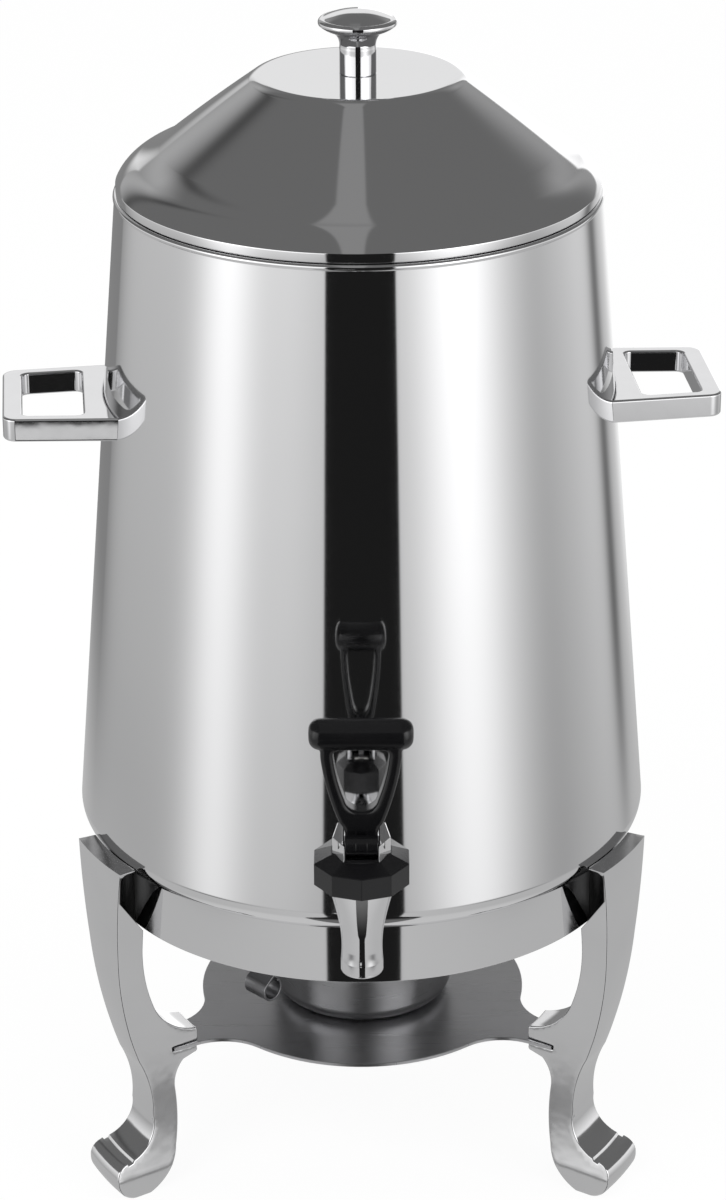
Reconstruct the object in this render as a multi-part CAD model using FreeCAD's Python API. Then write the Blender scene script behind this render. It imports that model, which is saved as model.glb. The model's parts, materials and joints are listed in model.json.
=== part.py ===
import FreeCAD, Part
import math
import os
from FreeCAD import Vector

# Coffee urn with a lift-off lid, a self-closing tap and a three-legged burner stand.
# Millimetres, +Z up, the feet stand on Z = 0, the tap looks along -Y.
# Every shape is first modelled about the urn's own axis (x = 0, y = 0) and moved at the end,
# so that the origin is the middle of the base of the box round the whole object.

# Stand: ring, legs and the heights that everything else hangs on
seat_height = 190.0
ring_radius = 139.0
ring_wall = 3.0
ring_height = 31.0
leg_count = 3
front_leg_angle = 210.0

# Urn body, a spun shell that is narrower at the mouth
body_height = 335.5
body_wall = 1.2
belly_radius = 146.5
mouth_radius = 119.4
shoulder_height = 12.0
seat_lip = 0.7
skirt_depth = 12.0
skirt_play = 0.5
rim_bead_radius = 1.5
floor_rise = 5.0
pan_wall = 1.5

# Lid
lid_wall = 1.2
lid_radius = 118.8
lid_brim_height = 4.4
lid_rise = 57.8
lid_flat_radius = 46.0
lid_skirt_depth = 11.0
lid_skirt_play = 0.6
lid_seat_gap = 0.3

# Lid knob
knob_radius = 19.2
knob_height = 30.5
knob_stem_radius = 9.0
knob_cap_height = 9.1
knob_crown_flat = 2.0
knob_screw_radius = 2.5
knob_screw_length = 16.0

# Loop handles
handle_angle = 5.0
handle_top = 234.0
handle_thickness = 11.7
handle_reach = 50.2
handle_root_width = 78.0
handle_end_width = 70.5
handle_side_bar = 6.4
handle_end_bar = 9.5
handle_root_bar = 10.4
handle_corner = 7.0
handle_hole_corner = 4.0
handle_edge_round = 1.2
handle_screw_spacing = 52.0
handle_screw_radius = 2.5
handle_screw_grip = 9.0
handle_washer_thickness = 1.5

# Legs, as distances from the urn's axis and heights under the seat
leg_head_rise = 7.5
leg_head_thickness = 16.5
leg_knee_drop = 44.0
leg_ankle_radius = 134.6
leg_ankle_share = 0.603
leg_ankle_thickness = 14.4
leg_toe_radius = 158.4
leg_heel_radius = 122.0
leg_head_half_width = 23.5
leg_waist_half_width = 12.2
leg_waist_share = 0.866
leg_toe_half_width = 16.6
leg_taper = 0.2
leg_cove_radius = 15.0
leg_cove_inset = 1.0
leg_cove_roof = 1.0
leg_cove_round = 4.0
leg_screw_radius = 3.0
leg_screw_length = 9.0
leg_screw_drop = 21.5
foot_flat = 9.0
foot_flat_inset = 15.0

# Burner tray and the jaws on the legs that hold its arms
tray_drop = 109.7
tray_thickness = 2.0
tray_radius = 86.0
tray_arm_half_width = 11.6
tray_arm_blend = 28.0
tray_slot_play = 0.15
jaw_tip_radius = 105.8
jaw_slot_radius = 121.0
jaw_upper = 7.6
jaw_lower = 5.2

# Fuel cup, its swinging cover and the cover's curled handle
cup_radius = 47.4
cup_height = 47.0
cup_wall = 1.2
cup_base_round = 8.5
cup_ear_radius = 5.5
cover_thickness = 1.2
cover_overhang = 0.9
cover_gap = 0.3
cover_handle_angle = 225.0
cover_handle_width = 15.0
cover_handle_reach = 35.0
cover_handle_drop = 22.0
cover_curl_radius = 6.4
rivet_radius = 2.0
rivet_head_radius = 3.6
rivet_head_height = 1.4

# Tap, as distances from the urn's axis and heights over the seat
tap_reach = 203.0
tap_outlet = 13.1
tap_tip_radius = 10.05
tap_neck_radius = 9.75
tap_neck_height = 34.0
tap_top_radius = 15.9
tap_top = 62.0
tap_bore_radius = 6.0
tap_chamber_radius = 10.5
tap_seat = 46.0
tap_collar_radius = 17.6
tap_collar_height = 8.0
shank_height = 52.0
shank_radius = 8.0
shank_bore_radius = 5.0
shank_boss_radius = 9.5
shank_flange_radius = 12.4
shank_flange = 3.0
seal_radius = 12.9
seal_thickness = 2.0
nut_flats = 24.0
nut_thickness = 7.0
shank_overrun = 3.0

# Tap bonnet, yoke and valve
bonnet_sides = 10
bonnet_radius = 23.4
bonnet_side = 11.4
bonnet_crown = 3.6
bonnet_crown_radius = 14.4
bonnet_roof = 3.4
yoke_half_width = 13.7
yoke_back_half_width = 11.3
yoke_front = 12.5
yoke_back = 12.0
yoke_height = 8.4
yoke_floor = 1.0
yoke_spigot_radius = 6.5
yoke_spigot = 3.0
stem_radius = 3.0
stem_eye_thickness = 4.0
seat_cup_radius = 9.3
seat_cup_height = 9.5
spring_radius = 7.0
spring_wall = 2.0
stem_eye_radius = 4.4
stem_eye_slot = 1.3
stem_blade_depth = 3.0
stem_neck_drop = 1.3

# Tap lever
lever_stem_half_width = 7.8
lever_thickness = 10.0
lever_pin_height = 6.4
lever_pin_offset = 7.0
lever_pin_radius = 2.0
stem_pin_radius = 1.5
stem_pin_play = 0.15
lever_bar_height = 60.2
lever_bar_radius = 7.4
lever_bar_length = 48.6
lever_loop_half_width = 18.9
lever_window_half_width = 12.9
lever_window_foot = 22.0
lever_window_foot_half_width = 7.6

# Fits
weld_gap = 0.1
face_gap = 0.3
screw_play = 0.1
running_play = 0.06
head_gap = 0.2

# Worked out from the sizes above
seam_radius = ring_radius + seat_lip
skirt_radius = ring_radius - ring_wall - skirt_play
leg_head_radius = ring_radius + weld_gap + leg_head_thickness
wall_rise = body_height - shoulder_height
wall_slope = (belly_radius - mouth_radius) / wall_rise
wall_tilt = math.atan(wall_slope)
lid_seat = seat_height + body_height + lid_seat_gap
lid_top = seat_height + body_height + lid_rise
bonnet_bottom = seat_height + tap_top
bonnet_side_top = bonnet_bottom + bonnet_side
bonnet_top = bonnet_side_top + bonnet_crown
lever_pin_z = bonnet_top + lever_pin_height
tray_top = seat_height - tray_drop
cup_top = tray_top + cup_height
cup_pivot_radius = cup_radius + cup_ear_radius - 1.0
front_reach = tap_reach + bonnet_radius
back_reach = leg_toe_radius
axis_y = (front_reach - back_reach) / 2.0
shoulder_chord = (seam_radius - belly_radius, -shoulder_height)
shoulder_half = -shoulder_chord[0] * math.cos(wall_tilt) - shoulder_chord[1] * math.sin(wall_tilt)
shoulder_bend = (shoulder_chord[0] ** 2 + shoulder_chord[1] ** 2) / (2 * shoulder_half)
shoulder_hub_r = belly_radius - shoulder_bend * math.cos(wall_tilt)
shoulder_hub_z = seat_height + shoulder_height - shoulder_bend * math.sin(wall_tilt)
leg_angles = {
    "leg_left": front_leg_angle,
    "leg_right": front_leg_angle + 360.0 / leg_count,
    "leg_rear": front_leg_angle - 360.0 / leg_count,
}
z_axis = Vector(0, 0, 1)
centre = Vector(0, 0, 0)


def wall_radius(height):
    """Outer radius of the body's wall at a height over the seat."""
    return belly_radius - (height - shoulder_height) * wall_slope


def shoulder_point(grow, height):
    """Point on the body's rounded shoulder, moved outwards, at a height over the seat."""
    rise = seat_height + height - shoulder_hub_z
    reach = math.sqrt((shoulder_bend + grow) ** 2 - rise ** 2)
    return (shoulder_hub_r + reach, seat_height + height)


def unit(angle):
    """Direction in plan at an angle in degrees."""
    return Vector(math.cos(math.radians(angle)), math.sin(math.radians(angle)), 0)


def wire_from(start, steps, place):
    """Closed wire: a step is a point, or (middle, end) of an arc, and place turns it into a vector."""
    edges = []
    here = start
    last = steps[-1][1] if isinstance(steps[-1][0], tuple) else steps[-1]
    closing = [] if last == start else [start]
    for step in steps + closing:
        if isinstance(step[0], tuple):
            middle, end = step
            edges.append(Part.Arc(place(here), place(middle), place(end)).toShape())
        else:
            end = step
            edges.append(Part.LineSegment(place(here), place(end)).toShape())
        here = end
    return Part.Wire(edges)


def in_section(point):
    """A (radius, height) pair as a vector in the XZ plane."""
    return Vector(point[0], 0, point[1])


def turned(start, steps, angle=360.0):
    """Solid of revolution about Z from a (radius, height) outline."""
    face = Part.Face(wire_from(start, steps, in_section))
    return face.revolve(centre, z_axis, angle)


def rod(radius, length, foot, direction=z_axis):
    return Part.makeCylinder(radius, length, foot, direction)


def tube(outer, inner, length, foot, direction=z_axis):
    return rod(outer, length, foot, direction).cut(rod(inner, length, foot, direction))


def prism(corners, foot, height):
    """Upright prism from plan corners."""
    points = [Vector(x, y, foot) for x, y in corners]
    face = Part.Face(Part.makePolygon(points + points[:1]))
    return face.extrude(Vector(0, 0, height))


def regular(sides, radius, first_angle, middle_x=0.0, middle_y=0.0):
    """Corners of a regular polygon in plan."""
    corners = []
    for side in range(sides):
        direction = unit(first_angle + side * 360.0 / sides)
        corners.append((middle_x + radius * direction.x, middle_y + radius * direction.y))
    return corners


def spun(shape, angle):
    """Copy of a shape turned about the urn's axis."""
    copy = shape.copy()
    copy.rotate(centre, z_axis, angle)
    return copy


def moved(shape, offset):
    copy = shape.copy()
    copy.translate(offset)
    return copy


def save(name, shape):
    """Clean a shape, move it to the part's own frame and write its file."""
    placed = moved(shape.removeSplitter(), Vector(0, axis_y, 0))
    solids = placed.Solids
    whole = solids[0] if len(solids) == 1 else Part.makeCompound(solids)
    box = whole.BoundBox
    print(name, len(solids), "valid" if whole.isValid() else "NOT VALID", round(whole.Volume, 1),
          [round(v, 1) for v in (box.XMin, box.YMin, box.ZMin, box.XMax, box.YMax, box.ZMax)])
    whole.exportStep("parts/" + name + ".step")


def wall_cone(offset):
    """Solid that fills the body's straight wall, grown by an offset square to the wall."""
    grow = offset / math.cos(wall_tilt)
    low = belly_radius + grow
    high = mouth_radius + grow
    return Part.makeCone(low, high, wall_rise, Vector(0, 0, seat_height + shoulder_height))


def stand_ring():
    """Plain band; the urn's shoulder sits on its top edge."""
    base = Vector(0, 0, seat_height - ring_height)
    ring = tube(ring_radius, ring_radius - ring_wall, ring_height, base)
    for angle in leg_angles.values():
        ring = ring.cut(leg_screw_hole(angle))
    return ring


def leg_screw_hole(angle):
    """Clearance hole through the ring and into a leg's head."""
    out = unit(angle)
    foot = out * (ring_radius - 2 * ring_wall) + Vector(0, 0, seat_height - leg_screw_drop)
    return rod(leg_screw_radius + screw_play, leg_screw_length + 2 * ring_wall, foot, out)


def leg_side_section():
    """Outline of a leg seen from its side: (distance from the axis, height)."""
    top = seat_height + leg_head_rise
    ring_foot = seat_height - ring_height
    inner = ring_radius + weld_gap
    foot_middle = leg_toe_radius - foot_flat_inset
    head_middle = shoulder_point(face_gap + weld_gap, leg_head_rise / 2)
    head_inner = shoulder_point(face_gap + weld_gap, leg_head_rise)
    slot_low = tray_top - tray_thickness - tray_slot_play
    slot_high = tray_top + tray_slot_play
    shin = leg_ankle_radius - leg_ankle_thickness
    jaw_foot = slot_low - jaw_lower
    ankle = leg_ankle_share * jaw_foot
    toe_top = (leg_toe_radius - 6.8, 0.299 * jaw_foot)
    steps = [
        ((leg_head_radius, seat_height - leg_knee_drop / 3), (leg_head_radius - 1.4, seat_height - leg_knee_drop)),
        ((148.5 - 155.6 + leg_head_radius, seat_height - 86.0), (leg_ankle_radius + 6.6, seat_height - 112.0)),
        ((leg_ankle_radius + 0.7, seat_height - 130.0), (leg_ankle_radius, ankle)),
        ((leg_ankle_radius + 3.3, 0.411 * jaw_foot), (leg_ankle_radius + 13.2, 0.310 * jaw_foot)),
        (leg_ankle_radius + 14.0, 0.291 * jaw_foot),
        (leg_ankle_radius + 16.6, 0.280 * jaw_foot),
        toe_top,
        ((leg_toe_radius - 1.4, 0.249 * jaw_foot), (leg_toe_radius, 0.173 * jaw_foot)),
        ((leg_toe_radius - 2.2, 0.0685 * jaw_foot), (foot_middle + foot_flat / 2, 0.0)),
        (foot_middle - foot_flat / 2, 0.0),
        ((leg_heel_radius + 6.4, 0.104 * jaw_foot), (leg_heel_radius, 0.315 * jaw_foot)),
        ((shin - 0.4, 0.548 * jaw_foot), (shin, 0.768 * jaw_foot)),
        ((shin - 1.0, 0.884 * jaw_foot), (shin - 5.6, jaw_foot - 1.4)),
        (jaw_tip_radius + 2.0, slot_low - jaw_lower + 0.6),
        ((jaw_tip_radius + 0.5, slot_low - jaw_lower + 1.4), (jaw_tip_radius + 0.4, slot_low - jaw_lower + 3.0)),
        (jaw_tip_radius + 0.4, slot_low),
        (jaw_slot_radius, slot_low),
        (jaw_slot_radius, slot_high),
        (jaw_tip_radius, slot_high),
        (jaw_tip_radius, slot_high + jaw_upper - 1.2),
        ((jaw_tip_radius + 0.4, slot_high + jaw_upper - 0.4), (jaw_tip_radius + 1.4, slot_high + jaw_upper)),
        ((jaw_tip_radius + 16.0, slot_high + jaw_upper + 7.0), (inner - 8.2, slot_high + jaw_upper + 19.0)),
        ((inner - 2.2, ring_foot - 32.0), (inner, ring_foot - 12.0)),
        (inner, seat_height - face_gap),
        shoulder_point(face_gap + weld_gap, 0.0),
        (head_middle, head_inner),
    ]
    return (leg_head_radius, top), steps


def leg_front_section():
    """Outline of a leg seen from the front: (sideways, height)."""
    top = seat_height + leg_head_rise
    head = leg_head_half_width
    waist = leg_waist_half_width
    toe = leg_toe_half_width
    waist_height = seat_height - leg_waist_share * tray_drop
    middle = (0.38 * head + 0.62 * waist, seat_height - leg_knee_drop)
    ankle = (waist + 1.0, 0.263 * seat_height)
    spread = 0.063 * seat_height
    return (head, top), [
        (middle, (waist, waist_height)),
        (ankle, (toe, spread)),
        (toe, 0.0),
        (-toe, 0.0),
        (-toe, spread),
        ((-ankle[0], ankle[1]), (-waist, waist_height)),
        ((-middle[0], middle[1]), (-head, top)),
    ]


def leg_coves():
    """Rounded hollows behind the two sides of a leg's head, roofed by its top, with sloping floors."""
    low = seat_height - ring_height
    high = seat_height + leg_head_rise - leg_cove_roof
    side = leg_head_half_width
    slope = [(118.0, low - 31.0), (166.0, low - 31.0), (166.0, low + 39.2)]
    floor = Part.Face(Part.makePolygon([Vector(x, -2 * side, z) for x, z in slope + slope[:1]]))
    floor = floor.extrude(Vector(0, 4 * side, 0))
    coves = []
    for way in (-1, 1):
        foot = Vector(ring_radius - leg_cove_inset, way * side, low - 10.0)
        cove = rod(leg_cove_radius, high - low + 10.0, foot)
        roof_edge = [edge for edge in cove.Edges if edge.BoundBox.ZMin > high - 0.1 and edge.Closed]
        coves.append(cove.makeFillet(leg_cove_round, roof_edge).cut(floor))
    return coves


def leg_front_wire(distance):
    """Front outline of a leg at a distance from the urn's axis, narrower towards the inside."""
    share = 1.0 - leg_taper * (leg_head_radius - distance) / (leg_head_radius - jaw_tip_radius)
    start, steps = leg_front_section()

    def place(point):
        return Vector(distance, point[0] * share, point[1])

    return wire_from(start, steps, place)


def leg():
    """One cast leg on the +X side: side outline swept round the axis, trimmed to its front outline."""
    start, steps = leg_side_section()
    sweep = 2 * math.degrees(math.asin(leg_head_half_width / jaw_tip_radius)) + 6.0
    body = spun(turned(start, steps, sweep), -sweep / 2)
    wires = [leg_front_wire(jaw_tip_radius - 20.0), leg_front_wire(leg_toe_radius + 20.0)]
    body = body.common(Part.makeLoft(wires, True, True))
    for cove in leg_coves():
        body = body.cut(cove)
    return body.cut(leg_screw_hole(0.0))


def leg_screws():
    """One round-head screw per leg, put in from inside the ring."""
    screws = []
    for angle in leg_angles.values():
        out = unit(angle)
        middle = Vector(0, 0, seat_height - leg_screw_drop)
        inner_face = math.sqrt((ring_radius - ring_wall) ** 2 - (2 * leg_screw_radius) ** 2)
        foot = out * (inner_face - head_gap) + middle
        shank = rod(leg_screw_radius, leg_screw_length + ring_wall - 1.0, foot, out)
        head = rod(2 * leg_screw_radius, 0.9 * leg_screw_radius, foot - out * 0.9 * leg_screw_radius, out)
        screws.append(shank.fuse(head))
    return Part.makeCompound(screws)


def fuel_tray():
    """Flat plate: a disc with three arms that slide into the legs' jaws."""
    arm_end = jaw_slot_radius - 1.0
    blend = tray_arm_blend
    along = math.sqrt((tray_radius + blend) ** 2 - (tray_arm_half_width + blend) ** 2)
    bend = math.degrees(math.atan2(tray_arm_half_width + blend, along))
    half_disc = 180.0 / leg_count
    low = tray_top - tray_thickness

    def at(radius, angle):
        return unit(angle) * radius + Vector(0, 0, low)

    edges = []
    for angle in sorted(leg_angles.values()):
        out = unit(angle)
        side = unit(angle + 90.0)
        lift = Vector(0, 0, low)
        before = at(tray_radius, angle - bend)
        after = at(tray_radius, angle + bend)
        near_before = out * along - side * tray_arm_half_width + lift
        near_after = out * along + side * tray_arm_half_width + lift
        end_before = out * arm_end - side * tray_arm_half_width + lift
        end_after = out * arm_end + side * tray_arm_half_width + lift
        for start, end, way in ((before, near_before, -1), (near_after, after, 1)):
            hub = out * along + side * way * (tray_arm_half_width + blend) + lift
            middle = (start + end) * 0.5 - hub
            middle.normalize()
            arc = Part.Arc(start, hub + middle * blend, end).toShape()
            if way < 0:
                edges += [arc, Part.LineSegment(near_before, end_before).toShape()]
                edges += [Part.LineSegment(end_before, end_after).toShape()]
                edges += [Part.LineSegment(end_after, near_after).toShape()]
            else:
                edges.append(arc)
        far = at(tray_radius, angle + 2 * half_disc - bend)
        edges.append(Part.Arc(after, at(tray_radius, angle + half_disc), far).toShape())
    return Part.Face(Part.Wire(edges)).extrude(Vector(0, 0, tray_thickness))


def cup_pivot():
    """Foot of the axis that the burner cover swings about."""
    return unit(cover_handle_angle + 180.0) * cup_pivot_radius


def fuel_cup():
    """Pressed cup for a can of fuel, with an ear on its rim for the cover's rivet."""
    low = tray_top
    outer = cup_radius
    inner = cup_radius - cup_wall
    knee = cup_base_round
    corner = knee * (1 - math.sqrt(0.5))
    thin = cup_wall
    inner_knee = knee - thin
    inner_corner = inner_knee * (1 - math.sqrt(0.5))
    cup = turned((0, low), [
        (outer - knee, low),
        ((outer - corner, low + corner), (outer, low + knee)),
        (outer, cup_top),
        (inner, cup_top),
        (inner, low + knee),
        ((inner - inner_corner, low + thin + inner_corner), (inner - inner_knee, low + thin)),
        (0, low + thin),
    ])
    pivot = cup_pivot()
    ear = rod(cup_ear_radius, thin, pivot + Vector(0, 0, cup_top - thin))
    cup = cup.fuse(ear.cut(rod(inner + thin / 2, 2 * cup_height, Vector(0, 0, low))))
    return cup.cut(rod(rivet_radius + running_play, 4 * thin, pivot + Vector(0, 0, cup_top - 3 * thin)))


def cover_rivet():
    """Rivet that the cover swings on, held by the cup's ear."""
    pivot = cup_pivot()
    low = cup_top - cup_wall - head_gap
    high = cup_top + cover_gap + cover_thickness + head_gap
    body = rod(rivet_radius, high - low, pivot + Vector(0, 0, low))
    upper = rod(rivet_head_radius, rivet_head_height, pivot + Vector(0, 0, high))
    lower = rod(rivet_head_radius, rivet_head_height, pivot + Vector(0, 0, low - rivet_head_height))
    return body.fuse([upper, lower])


def fuel_cup_cover():
    """Flat disc that closes or regulates the burner, hung on the rivet."""
    low = Vector(0, 0, cup_top + cover_gap)
    disc = rod(cup_radius + cover_overhang, cover_thickness, low)
    disc = disc.fuse(rod(cup_ear_radius, cover_thickness, low + cup_pivot()))
    return disc.cut(rod(rivet_radius + running_play, 3 * cover_thickness, low + cup_pivot() - z_axis))


def cover_handle():
    """Bent strip on the cover's edge, sloping down and curled into a finger loop."""
    thin = cover_thickness
    root = cup_radius + cover_overhang - 12.0
    bend = cup_radius + cover_overhang + 5.0
    high = cup_top + cover_gap + cover_thickness + weld_gap
    end_r = cup_radius + cover_overhang + cover_handle_reach - cover_curl_radius
    end_z = high - cover_handle_drop + cover_curl_radius
    run = math.hypot(end_r - bend, high - end_z)
    along = ((end_r - bend) / run, (end_z - high) / run)
    across = (-along[1], along[0])
    curl = (end_r - across[0] * cover_curl_radius, end_z - across[1] * cover_curl_radius)
    tight = cover_curl_radius - thin

    def on_curl(radius, turn):
        start = math.atan2(across[1], across[0])
        return (curl[0] + radius * math.cos(start - turn), curl[1] + radius * math.sin(start - turn))

    closing = math.radians(292.0)
    steps = [
        (bend, high + thin),
        (end_r + across[0] * 0.0, end_z + across[1] * 0.0),
        (on_curl(cover_curl_radius, closing / 2), on_curl(cover_curl_radius, closing)),
        on_curl(tight, closing),
        (on_curl(tight, closing / 2), on_curl(tight, 0.0)),
        (bend - thin * 0.4, high),
    ]
    face = Part.Face(wire_from((root, high + thin), steps + [(root, high)], in_section))
    strip = moved(face.extrude(Vector(0, cover_handle_width, 0)), Vector(0, -cover_handle_width / 2, 0))
    return spun(strip, cover_handle_angle)


def body_shell():
    """Spun wall with a rolled rim, a rounded shoulder, a seat on the ring and a short skirt inside it."""
    base = seat_height
    thin = body_wall
    bead = rim_bead_radius
    rim = base + body_height
    neck = wall_radius(body_height - 2 * bead)
    slant = thin / math.cos(wall_tilt)
    inner_low = (belly_radius - thin * math.cos(wall_tilt), base + shoulder_height - thin * math.sin(wall_tilt))
    shell = turned((skirt_radius, base), [
        (seam_radius, base),
        (shoulder_point(0.0, shoulder_height * 0.4), (belly_radius, base + shoulder_height)),
        (neck, rim - 2 * bead),
        ((neck + 0.4 * bead, rim - bead), (neck - 0.4 * bead, rim)),
        (wall_radius(body_height) - slant, rim),
        inner_low,
        (shoulder_point(-thin, shoulder_height * 0.45), shoulder_point(-thin, thin)),
        (skirt_radius - thin, base + thin),
        (skirt_radius - thin, base - skirt_depth),
        (skirt_radius, base - skirt_depth),
    ])
    for cutter in handle_screw_holes():
        shell = shell.cut(cutter)
    return shell.cut(shank_hole())


def body_base():
    """Floor pan of the urn, welded inside the skirt."""
    outer = skirt_radius - body_wall - weld_gap
    thin = pan_wall
    base = seat_height
    high = base - floor_rise + thin
    knee = 4.0
    corner = knee * (1 - math.sqrt(0.5))
    tight = knee - thin
    inner_corner = tight * (1 - math.sqrt(0.5))
    return turned((0, high), [
        (outer - knee, high),
        ((outer - corner, high - corner), (outer, high - knee)),
        (outer, base - skirt_depth),
        (outer - thin, base - skirt_depth),
        (outer - thin, high - knee),
        ((outer - thin - inner_corner, high - thin - inner_corner), (outer - knee, high - thin)),
        (0, high - thin),
    ])


def lid_outline(wall):
    """Half section of the lid's skin, moved inwards by a wall: flat top, hollow flank, round shoulder."""
    rise = lid_top
    reach = lid_radius
    foot = lid_seat + lid_brim_height
    w = wall
    flank = reach - lid_flat_radius
    edge = (lid_flat_radius - 0.2 * w, rise - w)
    turn = (lid_flat_radius + 3.9 - 0.45 * w, rise - 0.6 - 0.95 * w)
    brow = (lid_flat_radius + 7.2 - 0.7 * w, rise - 2.5 - 0.8 * w)
    hollow = (lid_flat_radius + 0.43 * flank - 0.63 * w, rise - 20.2 - 0.78 * w)
    cheek = (lid_flat_radius + 0.79 * flank - 0.55 * w, rise - 41.2 - 0.84 * w)
    shoulder = (reach - 3.6 - 0.74 * w, foot + 6.1 - 0.67 * w)
    brim = (reach - w, foot)
    return edge, turn, brow, hollow, cheek, shoulder, brim


def lid_shell():
    """Spun lid with a brim over the body's rim and a skirt inside its mouth."""
    edge, turn, brow, hollow, cheek, shoulder, brim = lid_outline(0.0)
    i_edge, i_turn, i_brow, i_hollow, i_cheek, i_shoulder, i_brim = lid_outline(lid_wall)
    skirt = mouth_radius - body_wall - lid_skirt_play
    thin = lid_wall
    shell = turned((0, lid_top), [
        edge,
        (turn, brow),
        (hollow, cheek),
        (shoulder, brim),
        (lid_radius, lid_seat + 0.8),
        ((lid_radius - 0.25, lid_seat + 0.25), (lid_radius - 0.8, lid_seat)),
        (skirt, lid_seat),
        (skirt, lid_seat - lid_skirt_depth),
        (skirt - thin, lid_seat - lid_skirt_depth),
        (skirt - thin, lid_seat + thin),
        (i_brim[0] - 0.3, lid_seat + thin),
        i_brim,
        (i_shoulder, i_cheek),
        (i_hollow, i_brow),
        (i_turn, i_edge),
        (0, lid_top - thin),
    ])
    hole = rod(knob_screw_radius + screw_play, 4 * thin, Vector(0, 0, lid_top - 3 * thin))
    return shell.cut(hole)


def lid_knob():
    """Turned mushroom knob with a blind hole for its screw."""
    foot = lid_top + weld_gap
    high = foot + knob_height
    under = high - knob_cap_height
    stem = knob_stem_radius
    knob = turned((0, foot), [
        (stem, foot),
        (stem, under - 9.1),
        ((stem + 1.2, under - 3.2), (stem + 4.6, under - 0.4)),
        ((knob_radius - 2.2, under + 1.1), (knob_radius - 0.2, under + 2.6)),
        ((knob_radius, under + 4.0), (knob_radius - 2.2, under + 5.6)),
        ((knob_radius * 0.56, high - 1.2), (knob_crown_flat, high)),
        (0, high),
    ])
    return knob.cut(rod(knob_screw_radius + screw_play, knob_screw_length - 2.0, Vector(0, 0, foot)))


def knob_washer():
    foot = Vector(0, 0, lid_top - lid_wall - weld_gap - 1.0)
    return tube(3.0 * knob_screw_radius, knob_screw_radius + screw_play, 1.0, foot)


def knob_screw():
    """Round-head screw from inside the lid."""
    under = lid_top - lid_wall - 2 * weld_gap - 1.0
    head_height = 1.3 * knob_screw_radius
    shank = rod(knob_screw_radius, knob_screw_length, Vector(0, 0, under - 0.1))
    head = rod(2 * knob_screw_radius, head_height, Vector(0, 0, under - head_height))
    return shank.fuse(head)


def handle():
    """Flat loop on the +X side: a tapered frame round a finger hole, cut to the wall's curve."""
    top = seat_height + handle_top
    root = wall_radius(handle_top)
    end = root + handle_reach
    inner = root - handle_root_width / 2
    gain = (handle_root_width - handle_end_width) / 2 / handle_reach

    def half_width(radius):
        return handle_root_width / 2 - (radius - root) * gain

    def slab(r0, r1, inset, foot, height):
        a = half_width(r0) - inset
        b = half_width(r1) - inset
        return prism([(r0, -a), (r1, -b), (r1, b), (r0, a)], foot, height)

    low = top - handle_thickness
    frame = slab(inner, end, 0.0, low, handle_thickness)
    frame = frame.makeFillet(handle_corner, upright_edges(frame, end))
    rims = [e for e in frame.Edges if e.BoundBox.ZLength < 0.01 and e.BoundBox.XMax > inner + 1.0]
    frame = frame.makeFillet(handle_edge_round, rims)
    hole_start = root + handle_root_bar
    hole_end = end - handle_end_bar
    hole = slab(hole_start, hole_end, handle_side_bar, low - 5.0, handle_thickness + 10.0)
    corners = upright_edges(hole, hole_start) + upright_edges(hole, hole_end)
    frame = frame.cut(hole.makeFillet(handle_hole_corner, corners))
    frame = frame.cut(wall_cone(weld_gap))
    for sideways in (-1, 1):
        foot, out = handle_screw_line(0.0, sideways)
        reach = body_wall + weld_gap + handle_screw_grip + 1.0
        frame = frame.cut(rod(handle_screw_radius + screw_play, reach, foot, out))
    return frame


def upright_edges(shape, at_x):
    """Vertical edges of a prism that stand at a given x."""
    found = []
    for edge in shape.Edges:
        box = edge.BoundBox
        if box.ZLength > 1.0 and box.XLength < 0.01 and abs(box.XMin - at_x) < 0.01:
            found.append(edge)
    return found


def handle_angles():
    return (180.0 + handle_angle, handle_angle)


def handle_screw_line(angle, sideways):
    """Foot on the inside of the wall and direction, square to the wall, of one handle screw."""
    height = handle_top - handle_thickness / 2
    turn = math.degrees(math.asin(handle_screw_spacing / 2 / wall_radius(height)))
    level = unit(angle + sideways * turn)
    foot = level * (wall_radius(height) - body_wall / math.cos(wall_tilt)) + Vector(0, 0, seat_height + height)
    return foot, level * math.cos(wall_tilt) + z_axis * math.sin(wall_tilt)


def handle_screw_holes():
    holes = []
    for angle in handle_angles():
        for sideways in (-1, 1):
            foot, out = handle_screw_line(angle, sideways)
            holes.append(rod(handle_screw_radius + screw_play, 12.0, foot - out * 6.0, out))
    return holes


def handle_washers():
    """Flat washers between the screw heads and the inside of the wall."""
    washers = []
    for angle in handle_angles():
        for sideways in (-1, 1):
            foot, out = handle_screw_line(angle, sideways)
            start = foot - out * (handle_washer_thickness + 2 * weld_gap)
            hole = handle_screw_radius + screw_play
            washers.append(tube(2.0 * handle_screw_radius, hole, handle_washer_thickness, start, out))
    return Part.makeCompound(washers)


def handle_screws():
    """Round-head screws put in from inside the urn."""
    screws = []
    for angle in handle_angles():
        for sideways in (-1, 1):
            foot, out = handle_screw_line(angle, sideways)
            back = handle_washer_thickness + 3 * weld_gap
            head_height = 1.2 * handle_screw_radius
            shank = rod(handle_screw_radius, back + body_wall + handle_screw_grip, foot - out * back, out)
            head = rod(1.8 * handle_screw_radius, head_height, foot - out * (back + head_height), out)
            screws.append(shank.fuse(head))
    return Part.makeCompound(screws)


def tap_axis(height):
    return Vector(0, -tap_reach, seat_height + height)


def shank_foot():
    return Vector(0, -tap_reach, seat_height + shank_height)


def shank_hole():
    """Hole in the wall for the tap's shank."""
    return rod(shank_radius + screw_play, tap_reach, shank_foot(), Vector(0, 1, 0))


def seal_room():
    """Where the outer seal ends and the tap's flange begins, as a distance from the urn's axis."""
    return wall_radius(shank_height - seal_radius) + weld_gap + seal_thickness


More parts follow.
